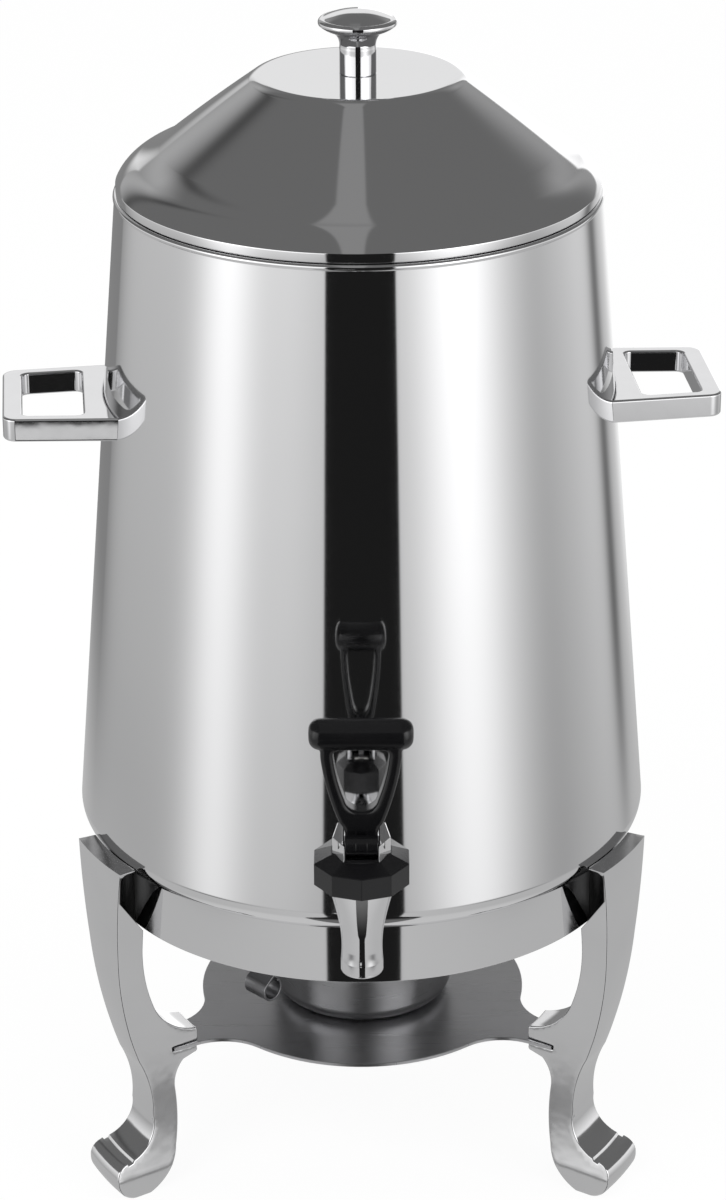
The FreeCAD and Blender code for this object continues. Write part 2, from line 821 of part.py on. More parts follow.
def tap_body():
    """Tapered spout with its valve chamber and the shank that goes through the wall."""
    base = seat_height
    tip = tap_tip_radius
    neck = tap_neck_radius
    spout = turned((0, base + tap_outlet), [
        (tip - 1.2, base + tap_outlet),
        ((tip - 0.35, base + tap_outlet + 0.4), (tip, base + tap_outlet + 1.6)),
        (tip, base + tap_outlet + 6.0),
        ((neck - 0.05, base + tap_neck_height - 4.0), (neck + 0.5, base + tap_neck_height + 2.0)),
        ((neck + 2.5, base + tap_neck_height + 12.0), (tap_top_radius, base + tap_top - 2.2)),
        (tap_top_radius, base + tap_top + weld_gap),
        (tap_collar_radius - 0.8, base + tap_top + weld_gap),
        (tap_collar_radius - 0.8, base + tap_top + tap_collar_height),
        (0, base + tap_top + tap_collar_height),
    ])
    spout = moved(spout, Vector(0, -tap_reach, 0))
    inward = Vector(0, 1, 0)
    flange_at = tap_reach - seal_room()
    boss = rod(shank_boss_radius, flange_at, shank_foot(), inward)
    flange = rod(shank_flange_radius, shank_flange, shank_foot() + inward * (flange_at - shank_flange), inward)
    shank_end = inner_wall_reach() - seal_thickness - nut_thickness - shank_overrun
    shank = rod(shank_radius, tap_reach - shank_end, shank_foot(), inward)
    body = spout.fuse([boss, flange, shank])
    chamber_height = tap_top + tap_collar_height - tap_seat
    body = body.cut(rod(tap_chamber_radius, chamber_height, tap_axis(tap_seat)))
    body = body.cut(rod(tap_bore_radius, tap_seat - tap_outlet, tap_axis(tap_outlet)))
    return body.cut(rod(shank_bore_radius, tap_reach, shank_foot(), inward))


def inner_wall_reach():
    """Distance from the urn's axis to the inside of the wall at the nut's upper edge, where it is least."""
    height = shank_height + seal_radius
    return math.sqrt((wall_radius(height) - body_wall) ** 2 - seal_radius ** 2) - weld_gap


def tap_outer_seal():
    """Seal ring between the tap's flange and the wall, shaped to the wall."""
    start = Vector(0, -seal_room() + weld_gap, seat_height + shank_height)
    ring = tube(seal_radius, shank_radius + screw_play, 12.0, start, Vector(0, 1, 0))
    return ring.cut(wall_cone(weld_gap))


def tap_inner_seal():
    """Seal ring inside the wall, shaped to it on one side and flat for the nut on the other."""
    start = Vector(0, -inner_wall_reach() + seal_thickness, seat_height + shank_height)
    ring = tube(seal_radius, shank_radius + screw_play, 12.0, start, Vector(0, -1, 0))
    return ring.common(wall_cone(-body_wall - weld_gap))


def tap_nut():
    """Hexagon nut on the shank inside the urn."""
    start = -inner_wall_reach() + seal_thickness + weld_gap
    corner = nut_flats / 2 / math.cos(math.radians(30.0))
    nut = prism(regular(6, corner, 0.0), 0.0, nut_thickness)
    nut = nut.common(Part.makeSphere(corner * 1.06, Vector(0, 0, nut_thickness / 2)))
    nut = nut.cut(rod(shank_radius + screw_play, nut_thickness, centre))
    nut.rotate(centre, Vector(1, 0, 0), -90.0)
    return moved(nut, Vector(0, start, seat_height + shank_height))


def tap_bonnet():
    """Ten-sided screwed cap over the valve chamber."""
    corners = regular(bonnet_sides, bonnet_radius, 270.0, 0.0, -tap_reach)
    low = bonnet_bottom + 2 * weld_gap
    side = prism(corners, low, bonnet_side_top - low)
    foot = Part.makePolygon([Vector(x, y, bonnet_side_top) for x, y in corners + corners[:1]])
    crown = regular(bonnet_sides, bonnet_crown_radius, 270.0, 0.0, -tap_reach)
    head = Part.makePolygon([Vector(x, y, bonnet_top) for x, y in crown + crown[:1]])
    cap = side.fuse(Part.makeLoft([foot, head], True, True))
    room = bonnet_top - bonnet_roof - low
    cap = cap.cut(rod(tap_collar_radius - 0.8 + weld_gap, room, Vector(0, -tap_reach, low)))
    return cap.cut(rod(yoke_spigot_radius + weld_gap, 30.0, Vector(0, -tap_reach, low)))


def yoke_corners():
    """Plan of the yoke: widest at the middle, drawn in to the back, with slanted front corners."""
    front = lever_stem_half_width + 0.6
    half = [(front, -yoke_front), (yoke_half_width, -0.25 * yoke_front), (yoke_back_half_width, yoke_back)]
    other = [(-x, y) for x, y in reversed(half)]
    return [(x, y - tap_reach) for x, y in half + other]


def lever_yoke():
    """Bright clevis on the bonnet: two cheeks for the lever's pin and a spigot that guides the stem."""
    low = bonnet_top + weld_gap
    block = prism(yoke_corners(), low, yoke_height)
    block = block.makeChamfer(0.6, [e for e in block.Edges if e.BoundBox.ZMin > low + yoke_height - 0.01])
    half = lever_stem_half_width + face_gap
    slot = Part.makeBox(2 * half, 60.0, 2 * yoke_height, Vector(-half, -tap_reach - 30.0, low + yoke_floor))
    block = block.cut(slot)
    spigot = rod(yoke_spigot_radius, yoke_spigot + 2 * weld_gap, Vector(0, -tap_reach, bonnet_top - yoke_spigot))
    block = block.fuse(spigot)
    block = block.cut(rod(stem_radius + running_play, 40.0, Vector(0, -tap_reach, bonnet_top - 20.0)))
    return block.cut(lever_pin_hole())


def lever_pin_line(half_length):
    """Foot of the lever's pin, level and in front of the valve stem."""
    return Vector(-half_length, -tap_reach - lever_pin_offset, lever_pin_z)


def lever_pin_hole():
    return rod(lever_pin_radius + running_play, 80.0, lever_pin_line(40.0), Vector(1, 0, 0))


def lever_pin():
    """Pin through both cheeks of the yoke."""
    half = yoke_half_width - 2.7
    return rod(lever_pin_radius, 2 * half, lever_pin_line(half), Vector(1, 0, 0))


def stem_pin_foot(half_length):
    return Vector(-half_length, -tap_reach, lever_pin_z)


def stem_pin():
    """Cross pin in the lever that lifts the valve stem."""
    half = lever_stem_half_width - 0.4
    return rod(stem_pin_radius, 2 * half, stem_pin_foot(half), Vector(1, 0, 0))


def lever_point(point):
    """A (sideways, height over the pins) pair on the front of the lever's plate."""
    return Vector(point[0], -tap_reach - lever_thickness / 2, lever_pin_z + point[1])


def mirrored(half):
    """Steps of a symmetric outline: up one side, across the top and down the other side."""
    points = [(step[0], step[1]) if isinstance(step[0], tuple) else (None, step) for step in half]
    last = points[-1][1]
    steps = list(half) + [(-last[0], last[1])]
    for index in range(len(points) - 1, 0, -1):
        middle = points[index][0]
        end = points[index - 1][1]
        flipped = (-end[0], end[1])
        steps.append(flipped if middle is None else ((-middle[0], middle[1]), flipped))
    return steps


def tap_lever():
    """Lever with a rounded grip bar over a U-shaped window, and a heel that rocks on its pin."""
    stem = lever_stem_half_width
    loop = lever_loop_half_width
    grip = lever_bar_height - lever_pin_height
    right = [
        (stem, 0.0),
        (stem, 3.6),
        ((stem + 0.5, 6.4), (stem + 2.6, 9.6)),
        ((loop - 3.4, 0.47 * grip), (loop, 0.80 * grip)),
        (loop, grip),
    ]
    outline = wire_from((-stem, 0.0), mirrored(right), lever_point)
    plate = Part.Face(outline).extrude(Vector(0, lever_thickness, 0))
    wide = lever_window_half_width
    foot = lever_window_foot_half_width
    sill = lever_window_foot - lever_pin_height
    lintel = grip - lever_bar_radius + 0.6
    side = [
        ((foot * 0.72, sill + 1.6), (foot, sill + 5.4)),
        ((wide - 1.9, (sill + lintel) / 2 + 1.0), (wide, lintel - 3.0)),
        ((wide - 0.6, lintel - 0.8), (wide - 2.6, lintel)),
        (-wide + 2.6, lintel),
    ]
    back = [
        ((-wide + 0.6, lintel - 0.8), (-wide, lintel - 3.0)),
        ((-wide + 1.9, (sill + lintel) / 2 + 1.0), (-foot, sill + 5.4)),
        ((-foot * 0.72, sill + 1.6), (0.0, sill)),
    ]
    window = Part.Face(wire_from((0.0, sill), side + back, lever_point))
    plate = plate.cut(moved(window.extrude(Vector(0, 3 * lever_thickness, 0)), Vector(0, -lever_thickness, 0)))
    half_bar = lever_bar_length / 2
    bar_foot = Vector(-half_bar, -tap_reach, lever_pin_z + grip)
    bar = rod(lever_bar_radius, lever_bar_length, bar_foot, Vector(1, 0, 0))
    ends = [edge for edge in bar.Edges if edge.BoundBox.XLength < 0.01]
    bar = bar.makeFillet(0.75 * lever_bar_radius, ends)
    heel_radius = lever_pin_height - yoke_floor - weld_gap - face_gap
    front = rod(heel_radius, 2 * stem, lever_pin_line(stem), Vector(1, 0, 0))
    rear = rod(heel_radius, 2 * stem, stem_pin_foot(stem), Vector(1, 0, 0))
    corner = lever_pin_line(stem) - z_axis * heel_radius
    tie = Part.makeBox(2 * stem, lever_pin_offset, 2 * heel_radius, corner)
    lever = plate.fuse([bar, front, rear, tie])
    pin_room = rod(stem_pin_radius + weld_gap, 2 * stem, stem_pin_foot(stem), Vector(1, 0, 0))
    return lever.cut([eye_room(), lever_pin_hole(), pin_room])


def eye_room():
    """Slot in the lever's heel for the stem's eye."""
    half = stem_eye_thickness / 2 + face_gap
    reach = lever_pin_offset - lever_pin_radius - 0.8
    room = Part.makeBox(2 * half, 40.0, 40.0, Vector(-half, -tap_reach - reach, lever_pin_z - 30.0))
    over = rod(stem_eye_radius + 2.2, 2 * half, stem_pin_foot(half), Vector(1, 0, 0))
    return room.cut(Part.makeBox(4 * half, 60.0, 40.0, Vector(-2 * half, -tap_reach - 30.0, lever_pin_z))).fuse(over)


def valve_stem():
    """Round stem with a flat eye that hangs on the lever's cross pin."""
    foot = seat_height + tap_seat + 3.0
    neck = bonnet_top - stem_neck_drop
    stem = rod(stem_radius, neck - foot, Vector(0, -tap_reach, foot))
    half = stem_eye_thickness / 2
    blade_front = Vector(-half, -tap_reach - stem_blade_depth / 2, neck)
    blade = Part.makeBox(2 * half, stem_blade_depth, lever_pin_z - neck, blade_front)
    eye = rod(stem_eye_radius, 2 * half, stem_pin_foot(half), Vector(1, 0, 0))
    hole_radius = stem_pin_radius + stem_pin_play
    hole = rod(hole_radius, 4 * half, stem_pin_foot(2 * half), Vector(1, 0, 0))
    front = moved(hole, Vector(0, -stem_eye_slot, 0))
    low = stem_pin_foot(2 * half) + Vector(0, -stem_eye_slot, -hole_radius)
    between = Part.makeBox(4 * half, stem_eye_slot, 2 * hole_radius, low)
    return stem.fuse([blade, eye]).cut(hole.fuse([front, between]))


def seat_cup():
    """Soft cup that closes the tap's bore, pushed on the foot of the stem."""
    foot = tap_axis(tap_seat)
    cup = rod(seat_cup_radius, seat_cup_height, foot)
    return cup.cut(rod(stem_radius + weld_gap, seat_cup_height, foot + z_axis * 2.9))


def tap_spring():
    """Envelope of the spring between the seat cup and the bonnet."""
    low = seat_height + tap_seat + seat_cup_height
    high = bonnet_top - bonnet_roof
    return tube(spring_radius, spring_radius - spring_wall, high - low, Vector(0, -tap_reach, low))


os.makedirs("parts", exist_ok=True)

save("stand_ring", stand_ring())
one_leg = leg()
for leg_name, leg_angle in leg_angles.items():
    save(leg_name, spun(one_leg, leg_angle))
save("leg_screws", leg_screws())
save("fuel_tray", fuel_tray())
save("fuel_cup", fuel_cup())
save("cover_rivet", cover_rivet())
save("fuel_cup_cover", fuel_cup_cover())
save("cover_handle", cover_handle())
save("body_shell", body_shell())
save("body_base", body_base())
one_handle = handle()
for handle_name, turn in zip(("left_handle", "right_handle"), handle_angles()):
    save(handle_name, spun(one_handle, turn))
save("handle_washers", handle_washers())
save("handle_screws", handle_screws())
save("lid_shell", lid_shell())
save("lid_knob", lid_knob())
save("knob_washer", knob_washer())
save("knob_screw", knob_screw())
save("tap_body", tap_body())
save("tap_outer_seal", tap_outer_seal())
save("tap_inner_seal", tap_inner_seal())
save("tap_nut", tap_nut())
save("tap_bonnet", tap_bonnet())
save("lever_yoke", lever_yoke())
save("lever_pin", lever_pin())
save("stem_pin", stem_pin())
save("tap_lever", tap_lever())
save("valve_stem", valve_stem())
save("seat_cup", seat_cup())
save("tap_spring", tap_spring())
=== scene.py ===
import json
import math

import bmesh
import bpy
import numpy as np
from mathutils import Matrix, Vector
from mathutils.geometry import delaunay_2d_cdt


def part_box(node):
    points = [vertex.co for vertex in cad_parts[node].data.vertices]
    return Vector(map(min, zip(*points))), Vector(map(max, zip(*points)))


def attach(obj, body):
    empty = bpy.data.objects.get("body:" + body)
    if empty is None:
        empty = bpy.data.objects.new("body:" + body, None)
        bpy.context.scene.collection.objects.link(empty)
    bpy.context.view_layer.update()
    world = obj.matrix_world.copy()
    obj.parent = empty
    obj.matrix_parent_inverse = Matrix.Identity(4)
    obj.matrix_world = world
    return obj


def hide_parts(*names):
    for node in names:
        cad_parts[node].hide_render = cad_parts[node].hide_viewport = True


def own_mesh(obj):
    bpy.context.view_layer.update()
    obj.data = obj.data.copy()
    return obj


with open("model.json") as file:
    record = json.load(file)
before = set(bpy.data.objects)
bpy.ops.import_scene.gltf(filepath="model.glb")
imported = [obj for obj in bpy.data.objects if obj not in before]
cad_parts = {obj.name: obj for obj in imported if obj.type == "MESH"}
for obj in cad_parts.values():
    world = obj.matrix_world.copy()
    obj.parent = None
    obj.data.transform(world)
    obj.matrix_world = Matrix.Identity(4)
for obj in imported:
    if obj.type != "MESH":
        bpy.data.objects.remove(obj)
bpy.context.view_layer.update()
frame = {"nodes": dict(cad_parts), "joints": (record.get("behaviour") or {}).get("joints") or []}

bl_info = {
    "name": "Coffee Urn",
    "version": (1, 0, 0),
    "blender": (4, 5, 0),
    "location": "View3D > Sidebar > Coffee Urn",
    "description": "Dresses the coffee urn: polished body and lid, cast legs, burner, handles and tap",
    "category": "Add Mesh",
}


# Frame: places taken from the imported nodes, in metres

def node_box(node):
    """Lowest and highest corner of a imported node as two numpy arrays."""
    low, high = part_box(node)
    return np.array(low), np.array(high)


def node_middle(node):
    low, high = node_box(node)
    return (low + high) / 2


URN_Y = float(node_middle("body_base")[1])
SEAT_Z = float(node_box("stand_ring")[1][2])
LEG_ANGLES = {"leg_left": 210.0, "leg_right": 330.0, "leg_rear": 90.0}
MM = 0.001
MERGE = 1e-6


# Outlines

def arc(start, middle, end, steps):
    """Points of the circle through three points, from after the start to the end."""
    (ax, ay), (bx, by), (cx, cy) = start, middle, end
    d = 2 * (ax * (by - cy) + bx * (cy - ay) + cx * (ay - by))
    sa, sb, sc = ax * ax + ay * ay, bx * bx + by * by, cx * cx + cy * cy
    ux = (sa * (by - cy) + sb * (cy - ay) + sc * (ay - by)) / d
    uy = (sa * (cx - bx) + sb * (ax - cx) + sc * (bx - ax)) / d
    radius = math.hypot(ax - ux, ay - uy)
    first = math.atan2(ay - uy, ax - ux)
    mid = (math.atan2(by - uy, bx - ux) - first) % (2 * math.pi)
    last = (math.atan2(cy - uy, cx - ux) - first) % (2 * math.pi)
    sweep = last if mid < last else last - 2 * math.pi
    turn = first + sweep * np.linspace(0, 1, steps + 1)[1:]
    return np.stack([ux + radius * np.cos(turn), uy + radius * np.sin(turn)], axis=1)


def outline(start, steps, arc_steps=12, line_steps=1):
    """Polyline from a start; a step is a point for a line or (middle, end) for an arc."""
    parts = [np.array([start], float)]
    here = start
    for step in steps:
        if isinstance(step[0], (tuple, list)):
            middle, end = step
            parts.append(arc(here, middle, end, arc_steps))
        else:
            end = step
            share = np.linspace(0, 1, line_steps + 1)[1:, None]
            parts.append(np.array(here) + (np.array(end, float) - np.array(here)) * share)
        here = end
    return np.concatenate(parts)


def rounded(points, radius, steps=4):
    """Closed polyline whose corners become tangent arcs; radius is a number or one per corner.

    A corner without a radius, or one that is nearly straight, stays a point."""
    points = np.asarray(points, float)
    radii = np.broadcast_to(np.asarray(radius, float), len(points))
    before = np.roll(points, 1, axis=0) - points
    after = np.roll(points, -1, axis=0) - points
    reach_b = np.linalg.norm(before, axis=1)
    reach_a = np.linalg.norm(after, axis=1)
    before = before / reach_b[:, None]
    after = after / reach_a[:, None]
    half = np.arccos(np.clip((before * after).sum(axis=1), -1, 1)) / 2
    cut = np.minimum(radii / np.tan(half), 0.45 * np.minimum(reach_a, reach_b))
    bend = cut * np.tan(half)
    out = []
    for i in range(len(points)):
        if bend[i] < 1e-9 or half[i] > math.pi / 2 - 0.01:
            out.append(points[i:i + 1])
            continue
        hub_way = before[i] + after[i]
        hub = points[i] + hub_way / np.linalg.norm(hub_way) * bend[i] / math.sin(half[i])
        one = points[i] + before[i] * cut[i]
        two = points[i] + after[i] * cut[i]
        top = hub + (points[i] - hub) / np.linalg.norm(points[i] - hub) * bend[i]
        out += [one[None], arc(tuple(one), tuple(top), tuple(two), steps)]
    return np.concatenate(out)


def spaced(points, count, closed=False):
    """Polyline sampled again at a count of points evenly spaced along its length."""
    points = np.asarray(points, float)
    if closed:
        points = np.concatenate([points, points[:1]])
    reach = np.concatenate([[0], np.cumsum(np.linalg.norm(np.diff(points, axis=0), axis=1))])
    at = np.linspace(0, reach[-1], count + 1)[:-1] if closed else np.linspace(0, reach[-1], count)
    return np.stack([np.interp(at, reach, points[:, k]) for k in range(points.shape[1])], axis=1)


def outward(loop):
    """Unit normals of a closed loop in a plane, pointing out of a counter-clockwise loop."""
    way = np.roll(loop, -1, axis=0) - np.roll(loop, 1, axis=0)
    normal = np.stack([way[:, 1], -way[:, 0]], axis=1)
    return normal / np.maximum(np.linalg.norm(normal, axis=1), 1e-12)[:, None]


def counter_clockwise(loop):
    """The loop, turned round where its signed area is negative."""
    x, y = loop[:, 0], loop[:, 1]
    return loop[::-1] if np.sum(x * np.roll(y, -1) - np.roll(x, -1) * y) < 0 else loop


def unit_circle(count):
    """Points (cos, sin) evenly spaced round a circle."""
    turn = np.linspace(0, 2 * math.pi, count, endpoint=False)
    return np.stack([np.cos(turn), np.sin(turn)], axis=1)


def raised(loop, height):
    """Points of a plan loop at one height."""
    return np.column_stack([loop, np.full(len(loop), height)])


def quarter_round(radius, steps):
    """Insets r - r cos and depths r - r sin of a rounded edge, from its side to its face."""
    turn = np.linspace(0, math.pi / 2, steps + 1)
    return radius * (1 - np.cos(turn)), radius * (1 - np.sin(turn))


# Meshes

def grid_faces(rows, columns, close_rows, close_columns):
    """Quads between neighbouring points of a grid."""
    i = np.arange(rows if close_rows else rows - 1)
    j = np.arange(columns if close_columns else columns - 1)
    i, j = np.meshgrid(i, j, indexing="ij")
    i, j = i.ravel(), j.ravel()
    a, b = (i + 1) % rows, (j + 1) % columns
    return np.stack([i * columns + j, i * columns + b, a * columns + b, a * columns + j], axis=1)


class Shape:
    """Points and faces of one piece, in millimetres about the urn's axis and the seat of the body."""

    def __init__(self):
        self.points = []
        self.faces = []
        self.count = 0

    def add(self, points, faces):
        points = np.asarray(points, float).reshape(-1, 3)
        self.points.append(points)
        self.faces += [tuple(int(v) + self.count for v in face) for face in faces]
        self.count += len(points)

    def grid(self, points, close_rows=False, close_columns=False):
        rows, columns = points.shape[:2]
        self.add(points, grid_faces(rows, columns, close_rows, close_columns))

    def turned(self, profile, segments, centre=(0.0, 0.0)):
        """A (radius, z) profile carried once round an upright axis; points on the axis become poles."""
        profile = np.asarray(profile, float)
        flat = np.array(centre) + profile[:, 0, None, None] * unit_circle(segments)
        z = np.broadcast_to(profile[:, 1, None, None], flat.shape[:2] + (1,))
        self.grid(np.concatenate([flat, z], axis=2), close_columns=True)

    def rod(self, profile, foot, segments, direction=(0.0, 0.0, 1.0)):
        """A (radius, distance) profile carried round an axis that starts at foot."""
        profile = np.asarray(profile, float)
        axis = np.asarray(direction, float) / np.linalg.norm(direction)
        side = np.cross(axis, (0.0, 0.0, 1.0) if abs(axis[2]) < 0.9 else (1.0, 0.0, 0.0))
        side = side / np.linalg.norm(side)
        ring = unit_circle(segments) @ np.stack([side, np.cross(axis, side)])
        points = profile[:, 0, None, None] * ring[None] + profile[:, 1, None, None] * axis
        self.grid(points + np.asarray(foot, float), close_columns=True)

    def slab(self, loop, levels, insets):
        """A closed plan loop stacked at several heights, each inset along its normals, with flat ends."""
        normal = outward(loop)
        start = self.count
        rings = [raised(loop - normal * inset, z) for z, inset in zip(levels, insets)]
        self.grid(np.stack(rings), close_columns=True)
        last = start + (len(rings) - 1) * len(loop)
        self.faces.append(tuple(range(last, last + len(loop))))
        self.faces.append(tuple(range(start + len(loop) - 1, start - 1, -1)))

    def mesh(self, name):
        mesh = bpy.data.meshes.new(name)
        points = np.concatenate(self.points) * MM + np.array([0.0, URN_Y, SEAT_Z])
        mesh.from_pydata(points.tolist(), [], self.faces)
        mesh.update()
        return mesh


def cleaned(mesh, slivers=False):
    """Mesh with its doubles merged, edges of no length dissolved where asked, and faces turned outwards."""
    work = bmesh.new()
    work.from_mesh(mesh)
    bmesh.ops.remove_doubles(work, verts=work.verts, dist=MERGE)
    if slivers:
        bmesh.ops.dissolve_degenerate(work, dist=MERGE / 10, edges=work.edges)
    bmesh.ops.recalc_face_normals(work, faces=work.faces)
    work.to_mesh(mesh)
    work.free()
    return mesh


def placed(name, data):
    """New object in the scene, at the world's origin."""
    obj = bpy.data.objects.new(name, data)
    bpy.context.scene.collection.objects.link(obj)
    return obj


def piece(name, shape, body, nodes, slot, maker, sharp=35.0):
    """Finished piece from a shape or a mesh: cleaned, smooth with sharp creases, and put on its body in place
    of the nodes it hides.
    """
    mesh = cleaned(shape.mesh(name) if isinstance(shape, Shape) else shape, slivers=True)
    mesh.shade_smooth()
    mesh.set_sharp_from_angle(angle=math.radians(sharp))
    mesh.materials.append(finish(maker))
    obj = placed(name, mesh)
    even = obj.modifiers.new("even_shading", "WEIGHTED_NORMAL")
    even.keep_sharp, even.weight = True, 60
    if nodes:
        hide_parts(*nodes)
    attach(obj, body)
    return obj


def blank(name, shape):
    """Helper object for modifiers, not yet a piece."""
    return placed(name, cleaned(shape.mesh(name)))


def baked(obj):
    """Mesh of an object with its modifiers applied; the object is removed."""
    bpy.context.view_layer.update()
    graph = bpy.context.evaluated_depsgraph_get()
    mesh = bpy.data.meshes.new_from_object(obj.evaluated_get(graph))
    bpy.data.objects.remove(obj)
    return mesh


# Shader maths

class Wire:
    """A socket in a node tree; operators on it add Math nodes."""

    def __init__(self, build, socket):
        self.build = build
        self.socket = socket

    def math(self, operation, *others, first=None):
        values = [self if first is None else first, *others]
        return self.build.node("ShaderNodeMath", {"operation": operation}, dict(enumerate(values)))

    def __add__(self, other):
        return self.math("ADD", other)

    def __radd__(self, other):
        return self.math("ADD", other)

    def __sub__(self, other):
        return self.math("SUBTRACT", other)

    def __rsub__(self, other):
        return self.math("SUBTRACT", self, first=other)

    def __mul__(self, other):
        return self.math("MULTIPLY", other)

    def __rmul__(self, other):
        return self.math("MULTIPLY", other)

    def __truediv__(self, other):
        return self.math("DIVIDE", other)

    def __pow__(self, other):
        return self.math("POWER", other)

    def __neg__(self):
        return self * -1.0

    def absolute(self):
        return self.math("ABSOLUTE")

    def bell(self):
        """Bell curve exp(-x*x)."""
        return (-(self * self)).math("EXPONENT")

    def smooth(self, low, high):
        """0 below low, 1 above high, eased between."""
        settings = {"interpolation_type": "SMOOTHSTEP"}
        return self.build.node("ShaderNodeMapRange", settings, {0: self, 1: low, 2: high})

    def within(self, rise, fall):
        """1 between two eased steps, each given as (start, end)."""
        return self.smooth(*rise) * (1.0 - self.smooth(*fall))

    def out(self, name):
        """Another output of the same node."""
        return Wire(self.build, self.socket.node.outputs[name])


class Build:
    """Adds nodes to one node tree."""

    def __init__(self, tree):
        self.tree = tree
        tree.nodes.clear()

    def node(self, kind, settings=None, values=None, output=0):
        made = self.tree.nodes.new(kind)
        for key, value in (settings or {}).items():
            setattr(made, key, value)
        for key, value in (values or {}).items():
            socket = made.inputs[key]
            if isinstance(value, Wire):
                self.tree.links.new(value.socket, socket)
            else:
                socket.default_value = value
        return Wire(self, made.outputs[output]) if made.outputs else None

    def axes(self, kind="Object"):
        """x, y and z of a texture coordinate."""
        place = self.node("ShaderNodeTexCoord", output=kind)
        parts = self.node("ShaderNodeSeparateXYZ", values={"Vector": place})
        return [parts.out(name) for name in "XYZ"]

    def noise(self, scale, detail, stretch=None):
        """Noise on Object coordinates, which are scaled along each axis first where a stretch is given."""
        place = self.node("ShaderNodeTexCoord", output="Object")
        if stretch:
            place = self.node("ShaderNodeMapping", values={"Vector": place, "Scale": stretch})
        values = {"Vector": place, "Scale": scale, "Detail": detail, "Roughness": 0.5}
        return self.node("ShaderNodeTexNoise", values=values)

    def mix(self, share, one, two):
        """Colour between two colours."""
        return self.node("ShaderNodeMix", {"data_type": "RGBA"}, {0: share, 6: one, 7: two}, output=2)


def shaded(name, **sockets):
    """New material with a Principled shader; a callable value is built in its nodes, any other is set."""
    material = bpy.data.materials.new(name)
    material.use_nodes = True
    b = Build(material.node_tree)
    values = {key.replace("_", " "): value(b) if callable(value) else value for key, value in sockets.items()}
    shader = b.node("ShaderNodeBsdfPrincipled", values=values)
    b.node("ShaderNodeOutputMaterial", values={"Surface": shader})
    return material


def grey(level):
    return (level, level, level, 1.0)


def mottled(dark, light, scale, detail):
    """Base colour that drifts between two colours with noise."""
    return lambda b: b.mix(b.noise(scale, detail), (*dark, 1.0), (*light, 1.0))


def uneven(base, *layers):
    """Roughness of a base value and layers, each an amount followed by what noise takes."""
    return lambda b: sum((b.noise(*grain) * amount for amount, *grain in layers), base)


def waved(strength, distance, *grain):
    """Normal from a bump of noise."""
    def normal(b):
        values = {"Strength": strength, "Distance": distance, "Height": b.noise(*grain)}
        return b.node("ShaderNodeBump", values=values)
    return normal


# Materials: noise scales are per metre, bump distances in metres

def polished_steel():
    """Mirror polish with faint spinning lines round the urn's axis and a soft waver."""
    return shaded("polished_steel", Metallic=1.0,
                  Base_Color=mottled((0.80, 0.80, 0.81), (0.84, 0.84, 0.845), 9.0, 2.0),
                  Roughness=uneven(0.035, (0.02, 1.0, 2.0, (3.0, 3.0, 900.0)), (0.02, 14.0, 3.0)),
                  Normal=waved(0.10, 0.0006, 1.0, 1.0, (5.0, 5.0, 16.0)))


def hollow_shade_mask(b):
    """1 within the round hollow behind each side of a leg's head, where shade is painted, the three legs
    folded onto one.
    """
    x, y, z = b.axes()
    y = y - URN_Y
    turn = y.math("ARCTAN2", x) + math.radians(LEG_ANGLES["leg_right"])
    turn = turn.math("MODULO", math.radians(120.0)) - math.radians(60.0)
    reach = (x * x + y * y) ** 0.5
    along = reach * turn.math("COSINE") - HOLLOW_HUB[0] * MM
    across = (reach * turn.math("SINE")).absolute() - HOLLOW_HUB[1] * MM
    away = (along * along + across * across) ** 0.5
    above = z - SEAT_Z
    floor = (along + (HOLLOW_HUB[0] - HOLLOW_LOW[0]) * MM) * HOLLOW_SLOPE + HOLLOW_LOW[1] * MM
    inside = (1.0 - above.smooth(0.0050, 0.0056)) * (above - floor).smooth(-0.0006, 0.0)
    return (1.0 - away.smooth((HOLLOW_RADIUS + 0.2) * MM, (HOLLOW_RADIUS + 0.8) * MM)) * inside


def cast_chrome():
    """Polished casting: bright and slightly uneven, with painted shade in the hollows behind the legs' heads,
    which are also rougher.
    """
    bright = mottled((0.74, 0.74, 0.75), (0.82, 0.82, 0.825), 30.0, 2.0)
    dull = uneven(0.07, (0.09, 60.0, 4.0))
    return shaded("cast_chrome", Metallic=1.0,
                  # Painted shade: the base colour goes to dark grey 0.10 in the hollows behind each leg's
                  # head
                  Base_Color=lambda b: b.mix(hollow_shade_mask(b), bright(b), grey(0.10)),
                  Roughness=lambda b: dull(b) + hollow_shade_mask(b) * 0.22,
                  Normal=waved(0.25, 0.0006, 55.0, 2.0))


def satin_steel():
    """Brushed sheet: fine turned lines and uneven dullness."""
    return shaded("satin_steel", Metallic=1.0,
                  Base_Color=mottled((0.36, 0.36, 0.37), (0.48, 0.48, 0.49), 22.0, 3.0),
                  Roughness=uneven(0.22, (0.16, 1.0, 3.0, (40.0, 40.0, 2200.0))),
                  Normal=waved(0.12, 0.0002, 1.0, 3.0, (60.0, 60.0, 2600.0)))


def tray_steel():
    """Ground plate: straight grinding lines along one way."""
    return shaded("tray_steel", Metallic=1.0,
                  Base_Color=mottled((0.50, 0.50, 0.51), (0.60, 0.60, 0.61), 12.0, 3.0),
                  Roughness=uneven(0.24, (0.10, 1.0, 3.0, (18.0, 1800.0, 18.0))),
                  Normal=waved(0.05, 0.0002, 1.0, 3.0, (20.0, 2000.0, 20.0)))


def fastener_steel():
    """Plain turned steel of screws, washers, pins and the spring."""
    return shaded("fastener_steel", Metallic=1.0,
                  Base_Color=mottled((0.50, 0.50, 0.50), (0.62, 0.62, 0.62), 120.0, 2.0),
                  Roughness=uneven(0.28, (0.14, 400.0, 3.0)))


def tap_chrome():
    """Bright plating with tiny waves of the casting under it."""
    return shaded("tap_chrome", Metallic=1.0,
                  Base_Color=mottled((0.80, 0.80, 0.81), (0.86, 0.86, 0.87), 80.0, 2.0),
                  Roughness=uneven(0.03, (0.05, 160.0, 3.0)),
                  Normal=waved(0.08, 0.0003, 120.0, 1.0))


